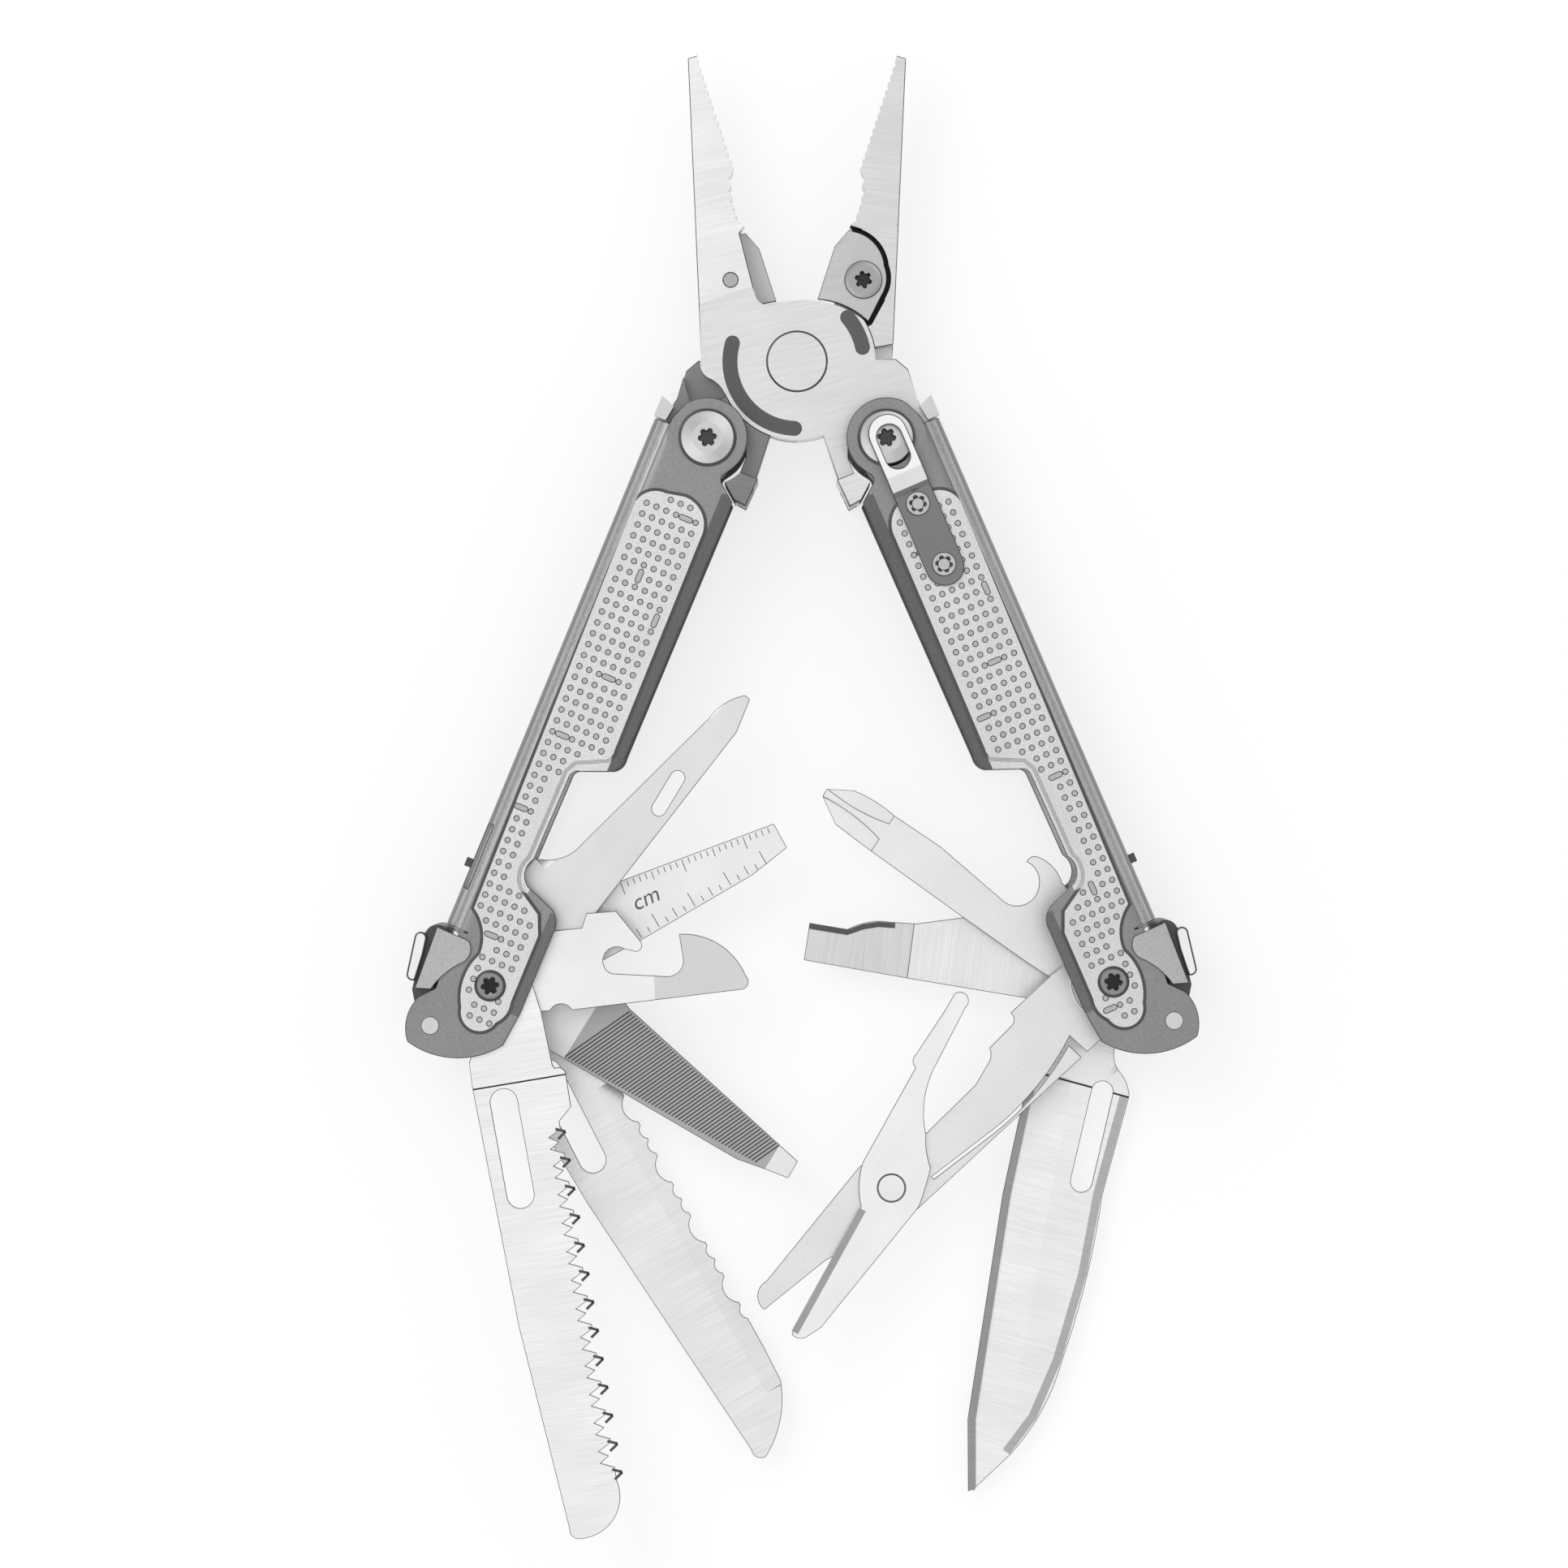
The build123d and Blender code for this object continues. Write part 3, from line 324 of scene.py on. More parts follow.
# shares of a head's tone: its face, what the painted sheen and the rings add, and the painted shade in its socket
HEAD_TONE, PAINTED_SHEEN, RINGS, SOCKET_SHADE_TONE = 0.86, 0.18, 0.03, 0.1


def steel(name, tone, roughness, grain, place=WORLD, zones=(), turn=0.0):
    """A steel finish. A zone is a place, its limits on X, Y or Z in millimetres and a tone."""
    material = bpy.data.materials.new(name)
    material.use_nodes = True
    nodes = FinishNodes(material.node_tree)
    shader = material.node_tree.nodes["Principled BSDF"].inputs
    shader["Metallic"].default_value = 1.0
    size, contrast, depth = GRAINS[grain]
    grained = place @ Matrix.Rotation(turn, 4, "Z")
    fine = nodes.noise(grained, tuple(length * MM for length in size), 3.0)
    broad = nodes.noise(grained, CLOUDS, 1.0)
    level = tone
    for zone_place, limits, zone_tone in zones:
        along = nodes.axes(zone_place)
        inside = 1.0
        for axis, (low, high) in limits.items():
            within = nodes.within(along["XYZ".index(axis)], low, high)
            inside = nodes.times(inside, within)
        level = nodes.mix(inside, level, zone_tone)
    varied = nodes.times(level, nodes.spread(fine, 1 - contrast, 1 + contrast / 2))
    varied = nodes.times(varied, nodes.spread(broad, *CLOUD_RANGE))
    nodes.colour(shader["Base Color"], varied, (1.0, 1.0, BLUE_SHARE))
    rough = nodes.spread(fine, *(roughness * share for share in ROUGHNESS_RANGE))
    nodes.feed(shader["Roughness"], rough)
    bump = nodes.node("ShaderNodeBump", Strength=1.0, Distance=depth, Height=fine)
    nodes.feed(shader["Normal"], bump.outputs[0])
    return material


def turned(name, tone, roughness, head, up=1.0):
    """A turned screw head with a painted sheen and painted shade in its socket. Head is the middle of its face, up
    its side.
    """
    material = steel(name, tone, roughness, "smooth")
    nodes = FinishNodes(material.node_tree)
    shader = material.node_tree.nodes["Principled BSDF"].inputs
    x, y, z = nodes.axes(Matrix.Translation(head))
    angle = nodes.math("ARCTAN2", y, x)
    # painted highlight: a sheen that turns round the head, painted into its colour
    sheen = nodes.times(nodes.math("SINE", nodes.times(angle, 2.0)), PAINTED_SHEEN)
    squares = nodes.plus(nodes.times(x, x), nodes.times(y, y))
    radius = nodes.math("POWER", squares, 0.5)
    rings = nodes.math("SINE", nodes.times(radius, RINGS_PER_MM))
    marks = nodes.plus(sheen, nodes.times(rings, RINGS))
    face = nodes.math("GREATER_THAN", radius, TURNED_FROM_R)
    level = nodes.plus(HEAD_TONE, nodes.times(face, marks))
    # painted shade inside the socket
    in_socket = nodes.times(nodes.below(radius, SOCKET_R),
                            nodes.within(nodes.times(z, -up), *SOCKET_DEPTH))
    level = nodes.mix(in_socket, level, SOCKET_SHADE_TONE)
    nodes.colour(shader["Base Color"], level, (tone, tone, tone))
    return material


def edge_steel():
    """Painted shade on the broken edges, which look dark beside the faces."""
    made = bpy.data.materials.get("edge_steel")
    if made is None:
        made = steel("edge_steel", bpy.context.scene.multitool_steel.edge_shade_tone, 0.35, "smooth")
    return made


def paint(node, material):
    """Gives a CAD node a material through its object's slots."""
    obj = frame["nodes"][node]
    if not obj.material_slots:
        obj.data.materials.append(None)
    for slot in obj.material_slots:
        slot.link = "OBJECT"
        slot.material = material


# ---- pieces ----
LARGE_FACE = 3.0 * MM * MM  # faces over this are flat to their edges
CORNER_ANGLE = 28.0  # sharper outer corners are broken
ROUND_ANGLE = 30.0  # flatter corners are shaded round
BEVEL_ROUND_ANGLE = 24.0  # the same on pieces with broken edges
STEP_SHARE = 0.4  # a bevel takes at most this share of a step's height
WELD = 0.002 * MM  # corners of a CAD mesh that are closer are one
FLAT_ANGLE = 0.3  # its faces are joined where they bend less than this


def new_object(name, mesh):
    obj = bpy.data.objects.new(name, mesh)
    bpy.context.scene.collection.objects.link(obj)
    return obj


def add_piece(obj, body):
    """Lets an added piece ride on body."""
    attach(obj, body)


def smooth(mesh, angle):
    """Smooth shading on what is round, while large flat faces stay flat to their edges."""
    mesh.polygons.foreach_set("use_smooth", [True] * len(mesh.polygons))
    mesh.set_sharp_from_angle(angle=math.radians(angle))
    form = bmesh.new()
    form.from_mesh(mesh)
    for edge in form.edges:
        if any(face.calc_area() > LARGE_FACE for face in edge.link_faces):
            edge.smooth = False
    form.to_mesh(mesh)
    form.free()
    mesh.update()


def plain_mesh(obj):
    """A mesh of what an object shows."""
    graph = bpy.context.evaluated_depsgraph_get()
    graph.update()
    return bpy.data.meshes.new_from_object(obj.evaluated_get(graph), depsgraph=graph)


def settle(obj):
    """Turns an object with modifiers into a plain mesh."""
    mesh = plain_mesh(obj)
    mesh.name = obj.name
    obj.modifiers.clear()
    obj.data = mesh


def step_height(edge):
    """How tall the lowest upright face beside an edge is."""
    heights = [max(v.co.z for v in face.verts) - min(v.co.z for v in face.verts)
               for face in edge.link_faces if abs(face.normal.z) < 0.5]
    return min(heights, default=1.0)


def mark_corners(form, width, shortest):
    """Bevel weights for outer corners, narrower on low steps. With a shortest length, shorter
    and upright edges are left as they are, such as those of teeth."""
    layer = form.edges.layers.float.new("bevel_weight_edge")
    for edge in form.edges:
        length = edge.calc_length()
        if len(edge.link_faces) != 2 or not edge.is_convex or length < shortest:
            continue
        upright = shortest and abs(edge.verts[0].co.z - edge.verts[1].co.z) > 0.5 * length
        if edge.calc_face_angle() > math.radians(CORNER_ANGLE) and not upright:
            edge[layer] = min(1.0, STEP_SHARE * step_height(edge) / width)


def dress(node, material, edge, shortest=0.0):
    """A copy of a CAD node with its edges broken, which stands for the node."""
    mesh = frame["nodes"][node].data.copy()
    mesh.name = node + "_finished"
    form = bmesh.new()
    form.from_mesh(mesh)
    bmesh.ops.remove_doubles(form, verts=form.verts, dist=WELD)
    bmesh.ops.dissolve_limit(form, angle_limit=math.radians(FLAT_ANGLE), verts=form.verts,
                             edges=form.edges)
    bmesh.ops.recalc_face_normals(form, faces=form.faces)
    mark_corners(form, edge, shortest)
    form.to_mesh(mesh)
    form.free()
    mesh.materials.clear()
    mesh.materials.append(material)
    mesh.materials.append(edge_steel())
    obj = new_object(mesh.name, mesh)
    bevel = obj.modifiers.new("Broken edges", "BEVEL")
    # the faces of the broken edges get the painted shade
    bevel.material = 1
    bevel.width = edge
    bevel.segments = 2
    bevel.limit_method = "WEIGHT"
    bevel.use_clamp_overlap = False
    bevel.miter_outer = "MITER_ARC"
    settle(obj)
    smooth(obj.data, BEVEL_ROUND_ANGLE)
    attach(obj, BODY_OF[node])
    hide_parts(node)


class Tree(Nodes):
    """A geometry node tree with a material and more named inputs, listed by their kind."""

    def __init__(self, name, **kinds):
        super().__init__(bpy.data.node_groups.new(name, "GeometryNodeTree"))
        face = self.tree.interface
        face.new_socket("Geometry", in_out="OUTPUT", socket_type="NodeSocketGeometry")
        self.sockets = {}
        for kind, labels in (*kinds.items(), ("Material", ("Material",))):
            for label in labels:
                made = face.new_socket(label, in_out="INPUT", socket_type="NodeSocket" + kind)
                self.sockets[label] = made.identifier
        self.source = self.add("NodeGroupInput")
        self.output = self.add("NodeGroupOutput")

    def __getitem__(self, label):
        """The value of an input."""
        return self.source.outputs[label]

    def vector(self, x=0.0, y=0.0, z=0.0):
        return self.node("ShaderNodeCombineXYZ", X=x, Y=y, Z=z).outputs[0]

    def moved(self, geometry, **values):
        return self.node("GeometryNodeTransform", Geometry=geometry, **values).outputs[0]

    def placed(self, geometry):
        """Geometry moved to the inputs Place and Turn."""
        return self.moved(geometry, Translation=self["Place"],
                          Rotation=self.vector(z=self["Turn"]))

    def line(self):
        """As many points as Count says, at an even Pitch along X."""
        return self.node("GeometryNodeMeshLine", {"mode": "OFFSET"}, Count=self["Count"],
                         Offset=self.vector(self["Pitch"])).outputs[0]

    def index(self):
        return self.add("GeometryNodeInputIndex").outputs[0]

    def spread(self, points, instance, **values):
        """A copy of instance on each point."""
        return self.node("GeometryNodeInstanceOnPoints", Points=points, Instance=instance,
                         **values).outputs[0]

    def cube(self, size=(1.0, 1.0, 1.0)):
        return self.node("GeometryNodeMeshCube", Size=size).outputs[0]

    def joined(self, *pieces):
        node = self.add("GeometryNodeJoinGeometry")
        for piece in pieces:
            self.feed(node.inputs[0], piece)
        return node.outputs[0]

    def finish(self, geometry):
        """Realize Instances and Set Material, then the output."""
        real = self.node("GeometryNodeRealizeInstances", Geometry=geometry)
        named = self.node("GeometryNodeSetMaterial", Geometry=real.outputs[0],
                          Material=self["Material"])
        self.feed(self.output.inputs[0], named.outputs[0])
        return self


def grow(name, tree, values, body):
    """Runs a tree with these inputs and leaves a plain mesh that rides on body."""
    obj = new_object(name, bpy.data.meshes.new(name))
    modifier = obj.modifiers.new("Pattern", "NODES")
    modifier.node_group = tree.tree
    for label, value in values.items():
        modifier[tree.sockets[label]] = value
    settle(obj)
    if not obj.data.polygons:
        raise RuntimeError(name + " has no faces")
    smooth(obj.data, ROUND_ANGLE)
    add_piece(obj, body)


GOLDEN = 0.61803  # steps of this share spread the long marks evenly
SEED_STEP = 0.137  # and this one moves them on for each seed
CLEARANCE = 1.9  # a dot's reach, and a long mark's breadth, in dot radii
LEVEL_SLACK = 0.02 * MM  # a point this near the panel's level lies on it
DOT_RISE = 0.03 * MM  # the face inside a ring over the panel


def on_panel(tree):
    """1 where a grid point, and four more around it, lie on the plate's raised panel."""
    plate = tree.node("GeometryNodeObjectInfo", Object=tree["Plate"])
    position = tree.add("GeometryNodeInputPosition").outputs[0]
    reach = tree.times(tree["Ring Radius"], CLEARANCE)
    down = tree.vector(z=tree.times(tree["Up"], -1.0))
    lift = tree.times(tree["Up"], 2 * MM)
    kept = 1.0
    for dx, dy in ((0, 0), (1, 0), (-1, 0), (0, 1), (0, -1)):
        start = tree.add("ShaderNodeVectorMath", operation="ADD")
        tree.feed(start.inputs[0], position)
        tree.feed(start.inputs[1], tree.vector(tree.times(reach, dx), tree.times(reach, dy), lift))
        ray = tree.node("GeometryNodeRaycast", Target_Geometry=plate.outputs["Geometry"],
                        Source_Position=start.outputs[0], Ray_Direction=down,
                        Ray_Length=5 * MM)
        hit = tree.node("ShaderNodeSeparateXYZ", Vector=ray.outputs["Hit Position"])
        gap = tree.math("ABSOLUTE", tree.minus(hit.outputs["Z"], tree["Level"]))
        here = tree.times(ray.outputs["Is Hit"], tree.below(gap, LEVEL_SLACK))
        kept = tree.times(kept, here)
    return kept


def grip_tree():
    """Rings and long marks on a grid, kept where the grid lies well inside the raised panel."""
    tree = Tree("Grip Pattern", Object=("Plate",), Vector=("Place",), Bool=("Filled",),
                Int=("Along", "Across", "Seed"),
                Float=("Turn", "Pitch Along", "Pitch Across", "Ring Radius", "Rim",
                       "Pill Length", "Pill Share", "Level", "Up"))

    def span(count, pitch):
        return tree.times(tree.minus(tree[count], 1), tree[pitch])

    def rim_or_face(curve):
        """The rim round a mark, or the low face inside it."""
        rim = tree.node("GeometryNodeCurveToMesh", Curve=curve, Profile_Curve=section.outputs[0])
        face = tree.node("GeometryNodeFillCurve", Curve=curve)
        rise = tree.vector(z=tree.times(tree["Up"], DOT_RISE))
        outward = tree.node("GeometryNodeFlipFaces",
                            Mesh=tree.moved(face.outputs[0], Translation=rise),
                            Selection=tree.below(tree["Up"], 0.0))
        chosen = tree.node("GeometryNodeSwitch", {"input_type": "GEOMETRY"},
                           Switch=tree["Filled"])
        tree.feed(chosen.inputs["False"], rim.outputs[0])
        tree.feed(chosen.inputs["True"], outward.outputs[0])
        return chosen.outputs[0]

    grid = tree.node("GeometryNodeMeshGrid", Size_X=span("Along", "Pitch Along"),
                     Size_Y=span("Across", "Pitch Across"), Vertices_X=tree["Along"],
                     Vertices_Y=tree["Across"])
    points = tree.node("GeometryNodeMeshToPoints", Mesh=tree.placed(grid.outputs["Mesh"]))
    inside = tree.node("GeometryNodeDeleteGeometry", Geometry=points.outputs[0],
                       Selection=tree.below(on_panel(tree), 0.5)).outputs[0]
    steps = tree.plus(tree.times(tree.index(), GOLDEN), tree.times(tree["Seed"], SEED_STEP))
    is_pill = tree.below(tree.math("FRACT", steps), tree["Pill Share"])
    section = tree.node("GeometryNodeCurvePrimitiveCircle", Resolution=3, Radius=tree["Rim"])
    ring = tree.node("GeometryNodeCurvePrimitiveCircle", Resolution=10,
                     Radius=tree["Ring Radius"])
    breadth = tree.times(tree["Ring Radius"], CLEARANCE)
    bar = tree.node("GeometryNodeCurvePrimitiveQuadrilateral", Width=tree["Pill Length"],
                    Height=breadth)
    pill = tree.node("GeometryNodeFilletCurve", {"mode": "POLY"}, Curve=bar.outputs[0], Count=3,
                     Radius=tree.times(breadth, 0.499))
    draw = tree.node("FunctionNodeRandomValue", {"data_type": "FLOAT"},
                     Seed=tree.plus(tree["Seed"], 7))
    quarter = tree.times(tree.math("GREATER_THAN", draw.outputs[1], 0.5), math.pi / 2)
    facing = tree.vector(z=tree.plus(tree["Turn"], quarter))
    return tree.finish(tree.joined(
        tree.spread(inside, rim_or_face(ring.outputs[0]), Rotation=facing,
                    Selection=tree.below(is_pill, 0.5)),
        tree.spread(inside, rim_or_face(pill.outputs[0]), Rotation=facing, Selection=is_pill)))


def cut_tree():
    """Bars from one end of a line to the other, each as long as the width there."""
    tree = Tree("File Cuts", Int=("Count",), Vector=("Start", "End"),
                Float=("First Length", "Last Length", "Turn", "Width", "Height", "Other Face"))
    line = tree.node("GeometryNodeMeshLine", {"mode": "END_POINTS"}, Count=tree["Count"],
                     Start_Location=tree["Start"], Offset=tree["End"])
    share = tree.math("DIVIDE", tree.index(), tree.minus(tree["Count"], 1))
    change = tree.minus(tree["Last Length"], tree["First Length"])
    length = tree.plus(tree["First Length"], tree.times(change, share))
    front = tree.spread(line.outputs[0], tree.cube(), Rotation=tree.vector(z=tree["Turn"]),
                        Scale=tree.vector(length, tree["Width"], tree["Height"]))
    back = tree.moved(front, Translation=tree.vector(z=tree["Other Face"]))
    return tree.finish(tree.joined(front, back))


# share of a facet's size along and across the blade, and the turn of the stroke
FACET_STROKES = ((-0.25, 0.04, 1.17), (0.25, 0.1, 2.18))


def tooth_tree():
    """Painted shade of the ground facet beside each tooth of the saw: two dark strokes that meet in a corner."""
    tree = Tree("Tooth Grinds", Int=("Count",), Vector=("Place",),
                Float=("Pitch", "Size", "Stroke", "Height", "Turn"))
    line = tree.line()
    size = tree.vector(tree["Size"], tree["Stroke"], tree["Height"])
    stroke = tree.cube(size)
    pair = tree.joined(*(
        tree.moved(stroke, Rotation=(0.0, 0.0, turn),
                   Translation=tree.vector(tree.times(tree["Size"], along),
                                           tree.times(tree["Size"], across)))
        for along, across, turn in FACET_STROKES))
    return tree.finish(tree.placed(tree.spread(line, pair)))


def rule_tree():
    """Marks at an even pitch that grow inward from an edge, with two longer kinds among them."""
    tree = Tree("Rule Marks", Int=("Count", "Middle Every", "Long Every"), Vector=("Place",),
                Float=("Pitch", "Short", "Middle", "Long", "Width", "Height", "Turn", "Side"))
    line = tree.line()
    index = tree.index()

    def every(label, length, otherwise):
        hit = tree.below(tree.math("MODULO", index, tree[label]), 0.5)
        more = tree.minus(tree[length], otherwise)
        return tree.plus(otherwise, tree.times(hit, more))

    length = every("Long Every", "Long", every("Middle Every", "Middle", tree["Short"]))
    inward = tree.times(tree.times(length, 0.5), tree["Side"])
    shifted = tree.node("GeometryNodeSetPosition", Geometry=line,
                        Offset=tree.vector(y=inward))
    marks = tree.spread(shifted.outputs[0], tree.cube(),
                        Scale=tree.vector(tree["Width"], length, tree["Height"]))
    return tree.finish(tree.placed(marks))


def flat_piece(name, outline, low, high, place, body, material):
    """A thin plate from an outline in millimetres, in the frame that place gives."""
    form = bmesh.new()
    base = [form.verts.new(place @ Vector((x * MM, y * MM, low))) for x, y in outline]
    grown = bmesh.ops.extrude_face_region(form, geom=[form.faces.new(base)])
    for vert in (item for item in grown["geom"] if isinstance(item, bmesh.types.BMVert)):
        vert.co.z += high - low
    bmesh.ops.recalc_face_normals(form, faces=form.faces)
    mesh = bpy.data.meshes.new(name)
    form.to_mesh(mesh)
    form.free()
    mesh.materials.append(material)
    smooth(mesh, ROUND_ANGLE)
    add_piece(new_object(name, mesh), body)


def ground_strip(name, node, tone, width, points):
    """A ground strip along an edge: points in the tool's frame, and its width to the left."""
    inner = []
    for index, point in enumerate(points):
        before, after = points[max(index - 1, 0)], points[min(index + 1, len(points) - 1)]
        run = (Vector(after) - Vector(before)).normalized()
        inner.append((point[0] - run.y * width, point[1] + run.x * width))
    place = TOOL_FRAMES[node]
    finish = steel(name + "_steel", tone, 0.3, "brushed", place, turn=ACROSS)
    top = top_of(node)
    flat_piece(name, [*points, *reversed(inner)], top - STRIP_SINK, top + STRIP_RISE, place,
               BODY_OF[node], finish)


def arc(radius, first, last, steps, centre=(0.0, 0.0)):
    """Points along an arc with both its ends. Angles in degrees."""
    turns = [math.radians(first + (last - first) * step / steps) for step in range(steps + 1)]
    return [(centre[0] + radius * math.cos(turn), centre[1] + radius * math.sin(turn))
            for turn in turns]


def band_outline(radius, half_width, first, last):
    """Outline of a round-ended band along an arc. Angles in degrees."""
    middle = arc(radius, first, last, 1)
    return [*arc(radius + half_width, first, last, 20),
            *arc(half_width, last, last + 180, 8, middle[1])[1:-1],
            *arc(radius - half_width, last, first, 20),
            *arc(half_width, first + 180, first + 360, 8, middle[0])[1:-1]]


# ---- tables, in millimetres and degrees ----
# from the plier pivot and the middle of the thickness: the floors of the cutters' seats, darkened as painted shade
# in the deep gaps
BACK_SEAT = {"X": (-16.0, -1.5), "Y": (5.0, 20.95), "Z": (-3.4, -1.5)}
FRONT_SEAT = {"X": (1.5, 16.0), "Y": (5.0, 20.95), "Z": (1.5, 3.4)}
# the back jaw's tang, darkened as painted shade where it lies lower
BACK_TANG = {"X": (-30.0, 0.0), "Y": (-30.0, 3.0)}
# tones of the painted shade in the seats and on the back tang
SEAT_SHADE_TONE, TANG_SHADE_TONE = 0.02, 0.22
# radius and half width of the two bands on the disc, and the angles that each runs between
BAND_R, BAND_HALF = 10.25, 1.15
BANDS = {"engraved_band_long": (164.0, 268.0), "engraved_band_short": (12.0, 41.0)}
BAND_SINK, BAND_RISE = 0.05 * MM, 0.012 * MM
PIN_HEAD = 0.2 * MM  # the pivot pin's head over the disc
TOOTH_EDGE = 1.2 * MM  # shorter edges of the jaws are teeth and aren't broken

# zones of the handle plates: along, across, which tone and the share of it
PLATE_ZONES = (
    ((-9.0, 92.0), (-7.9, -6.4), "border_tone", 2.1),  # painted highlight on the crown of the spine
    ((-9.0, 92.0), (-9.9, -8.9), "border_tone", 1.6),  # painted highlight on the outer side of the spine
    ((7.0, 52.8), (5.3, 9.0), "border_tone", 0.5),  # painted shade on the open side, over the jaws
    ((76.0, 92.5), (5.5, 9.0), "border_tone", 0.6),  # painted shade on the open side, by the tools
    ((50.6, 55.4), (-1.3, 5.2), "panel_tone", 1.0),  # notch
    ((55.3, 74.6), (-1.5, 1.2), "panel_tone", 1.0),  # neck
)
FAR = 30.0  # past everything
PANEL_SLACK = 0.09  # the panel's zone begins this far under it
SLOPE_SLACK, LEVER_SLACK = 0.05, 0.02  # the slope's and the lever's, this far over the border
CLIP_TOP = 0.3  # the clip is polished this far down from its screws' heads

GRID_CENTRE = (53.0, -0.7)  # of the dots, in the handle's frame
GRID_COUNT = (50, 8)  # of the dots, along and across

# share of the blade tone, roughness, grain, and zones along the tool with their own share
TOOL_LOOKS = {
    "saw": (1.04, 0.33, "brushed", ((15.1, 15.35, 0.05),)),
    "can_opener": (1.0, 0.36, "blasted", ((24.9, 60.0, 0.78),)),
    "awl": (0.86, 0.40, "blasted", ()),
    "ruler_driver": (0.97, 0.38, "blasted", ()),
    "file": (0.95, 0.38, "blasted", ((15.3, 50.5, 0.5),)),
    "serrated_blade": (0.95, 0.32, "brushed", ()),
    "scissors_frame": (0.92, 0.36, "blasted", ()),
    "scissors_lever": (1.02, 0.34, "lapped", ()),
    "phillips_driver": (0.95, 0.36, "blasted", ()),
    "pry_driver": (0.95, 0.34, "brushed", ((31.0, 60.0, 0.78), (30.8, 31.0, 0.375))),
    "knife_blade": (1.0, 0.30, "brushed", ((16.7, 17.0, 0.05),)),
}
# name, node, tone, width to the left, and points along the edge in the tool's frame
GROUND_STRIPS = (
    ("knife_cutting_bevel", "knife_blade", 0.30, 1.0,
     ((18.2, -7.6), (23.0, -7.6), (36.5, -6.9), (54.0, -4.95), (71.4, -3.0), (81.9, -0.1))),
    ("knife_spine_grind", "knife_blade", 0.42, 1.3,
     ((74.9, 4.55), (68.4, 7.1), (59.0, 8.45), (45.0, 8.75), (32.5, 7.75), (17.0, 7.75))),
    ("scissors_cutting_bevel", "scissors_lever", 0.35, 1.1,
     ((51.8, -2.45), (62.0, 0.55), (72.4, 3.6))),
    ("pry_edge_grind", "pry_driver", 0.10, 0.8,
     ((33.8, -4.3), (36.4, -4.15), (38.8, -3.45), (41.0, -2.3), (46.8, -2.5))),
)
STRIP_SINK, STRIP_RISE = 0.02 * MM, 0.015 * MM
MARK_HEIGHT = 0.03 * MM  # half of it stands out of the face

# edges of the file in its own frame, from the pivot's end to the tip
FILE_EDGES = (((19.8, 7.7), (54.2, 1.5)), ((13.6, -4.0), (51.0, -1.9)))
FILE_CUT_SLANT = 35.0  # of the cuts, in the world as it lies open
FILE_CUT_ENDS = (17.6, 49.6)
FILE_CUT_SHARE = 0.97  # of the way from edge to edge
FILE_MIDDLE_Y, FILE_MIDDLE_SLOPE = 2.5, -0.045
FIRST_TOOTH = (23.9, 6.8)  # in the saw's frame
TOOTH_GRINDS = {"Count": 13, "Pitch": 4.38 * MM, "Size": 1.6 * MM, "Stroke": 0.42 * MM}
# count, pitch, first mark, run of the edge, side, lengths, and how often the longer ones come
RULER_SCALES = {
    "ruler_millimetres": (25, 1.0, (24.6, 4.75), (24.8, -3.0), -1.0, (0.9, 1.3, 1.9), (5, 10)),
    "ruler_fractions": (17, 1.5875, (20.4, -4.3), (19.7, 1.0), 1.0, (0.9, 1.5, 2.3), (2, 4)),
}
UNIT_PLACE = (24.6, -0.2)
UNIT_TILT = 0.3 * math.atan2(-3.0, 24.8)  # a share of the upper edge's slope

VIEW_CENTRE = (-1.98, -64.6)  # from the plier pivot
SOFTBOX_PLACE = (-0.45, 0.42, 0.9)
# how bright the room is from straight down, 0, to straight up, 1
ROOM_LEVELS = ((0.0, 0.22), (0.22, 0.30), (0.52, 0.72), (0.78, 0.98), (1.0, 1.04))


# ---- operators ----
class MULTITOOL_OT_head(bpy.types.Operator):
    """Finishes the two jaws, the cutters, their screws and the pivot pin"""
    bl_idname = "multitool.head"
    bl_label = "Finish Plier Head"

    def execute(self, context):
        look = context.scene.multitool_steel
        diagonal = math.radians(14)
        flat = local_frame(PLIER_PIVOT, 0.0)
        middle = Matrix.Translation((PLIER_PIVOT.x, PLIER_PIVOT.y, MID_Z))
        # the cutters' seats, and the back jaw's tang, get painted shade through these zones
        front = steel("jaw_front_steel", look.jaw_tone, 0.36, "brushed", flat, turn=diagonal,
                      zones=((middle, BACK_SEAT, SEAT_SHADE_TONE),))
        back = steel("jaw_back_steel", look.jaw_tone * 0.96, 0.36, "brushed", flat,
                     turn=math.radians(-8), zones=((flat, BACK_TANG, TANG_SHADE_TONE),
                                                   (middle, FRONT_SEAT, SEAT_SHADE_TONE)))
        cutter = steel("cutter_steel", look.jaw_tone * 0.78, 0.5, "lapped", flat, turn=diagonal)
        dress("jaw_front", front, look.jaw_edge, TOOTH_EDGE)
        dress("jaw_back", back, look.jaw_edge, TOOTH_EDGE)
        dress("cutter_front", cutter, look.blade_edge)
        dress("cutter_back", cutter, look.blade_edge)
        dress("plier_pivot", front, look.jaw_edge)
        for node, up in (("cutter_front_screw", -1.0), ("cutter_back_screw", 1.0)):
            finish = turned(node + "_steel", 0.42, 0.25, head_of(node, up), up)
            dress(node, finish, look.plate_edge)
        recess = steel("recess_steel", look.dark_tone * 1.4, 0.55, "blasted")
        face = top_of("plier_pivot") - PIN_HEAD
        for name, (first, last) in BANDS.items():
            flat_piece(name, band_outline(BAND_R, BAND_HALF, first, last), face - BAND_SINK,
                       face + BAND_RISE, flat, "front_jaw", recess)
        return {"FINISHED"}


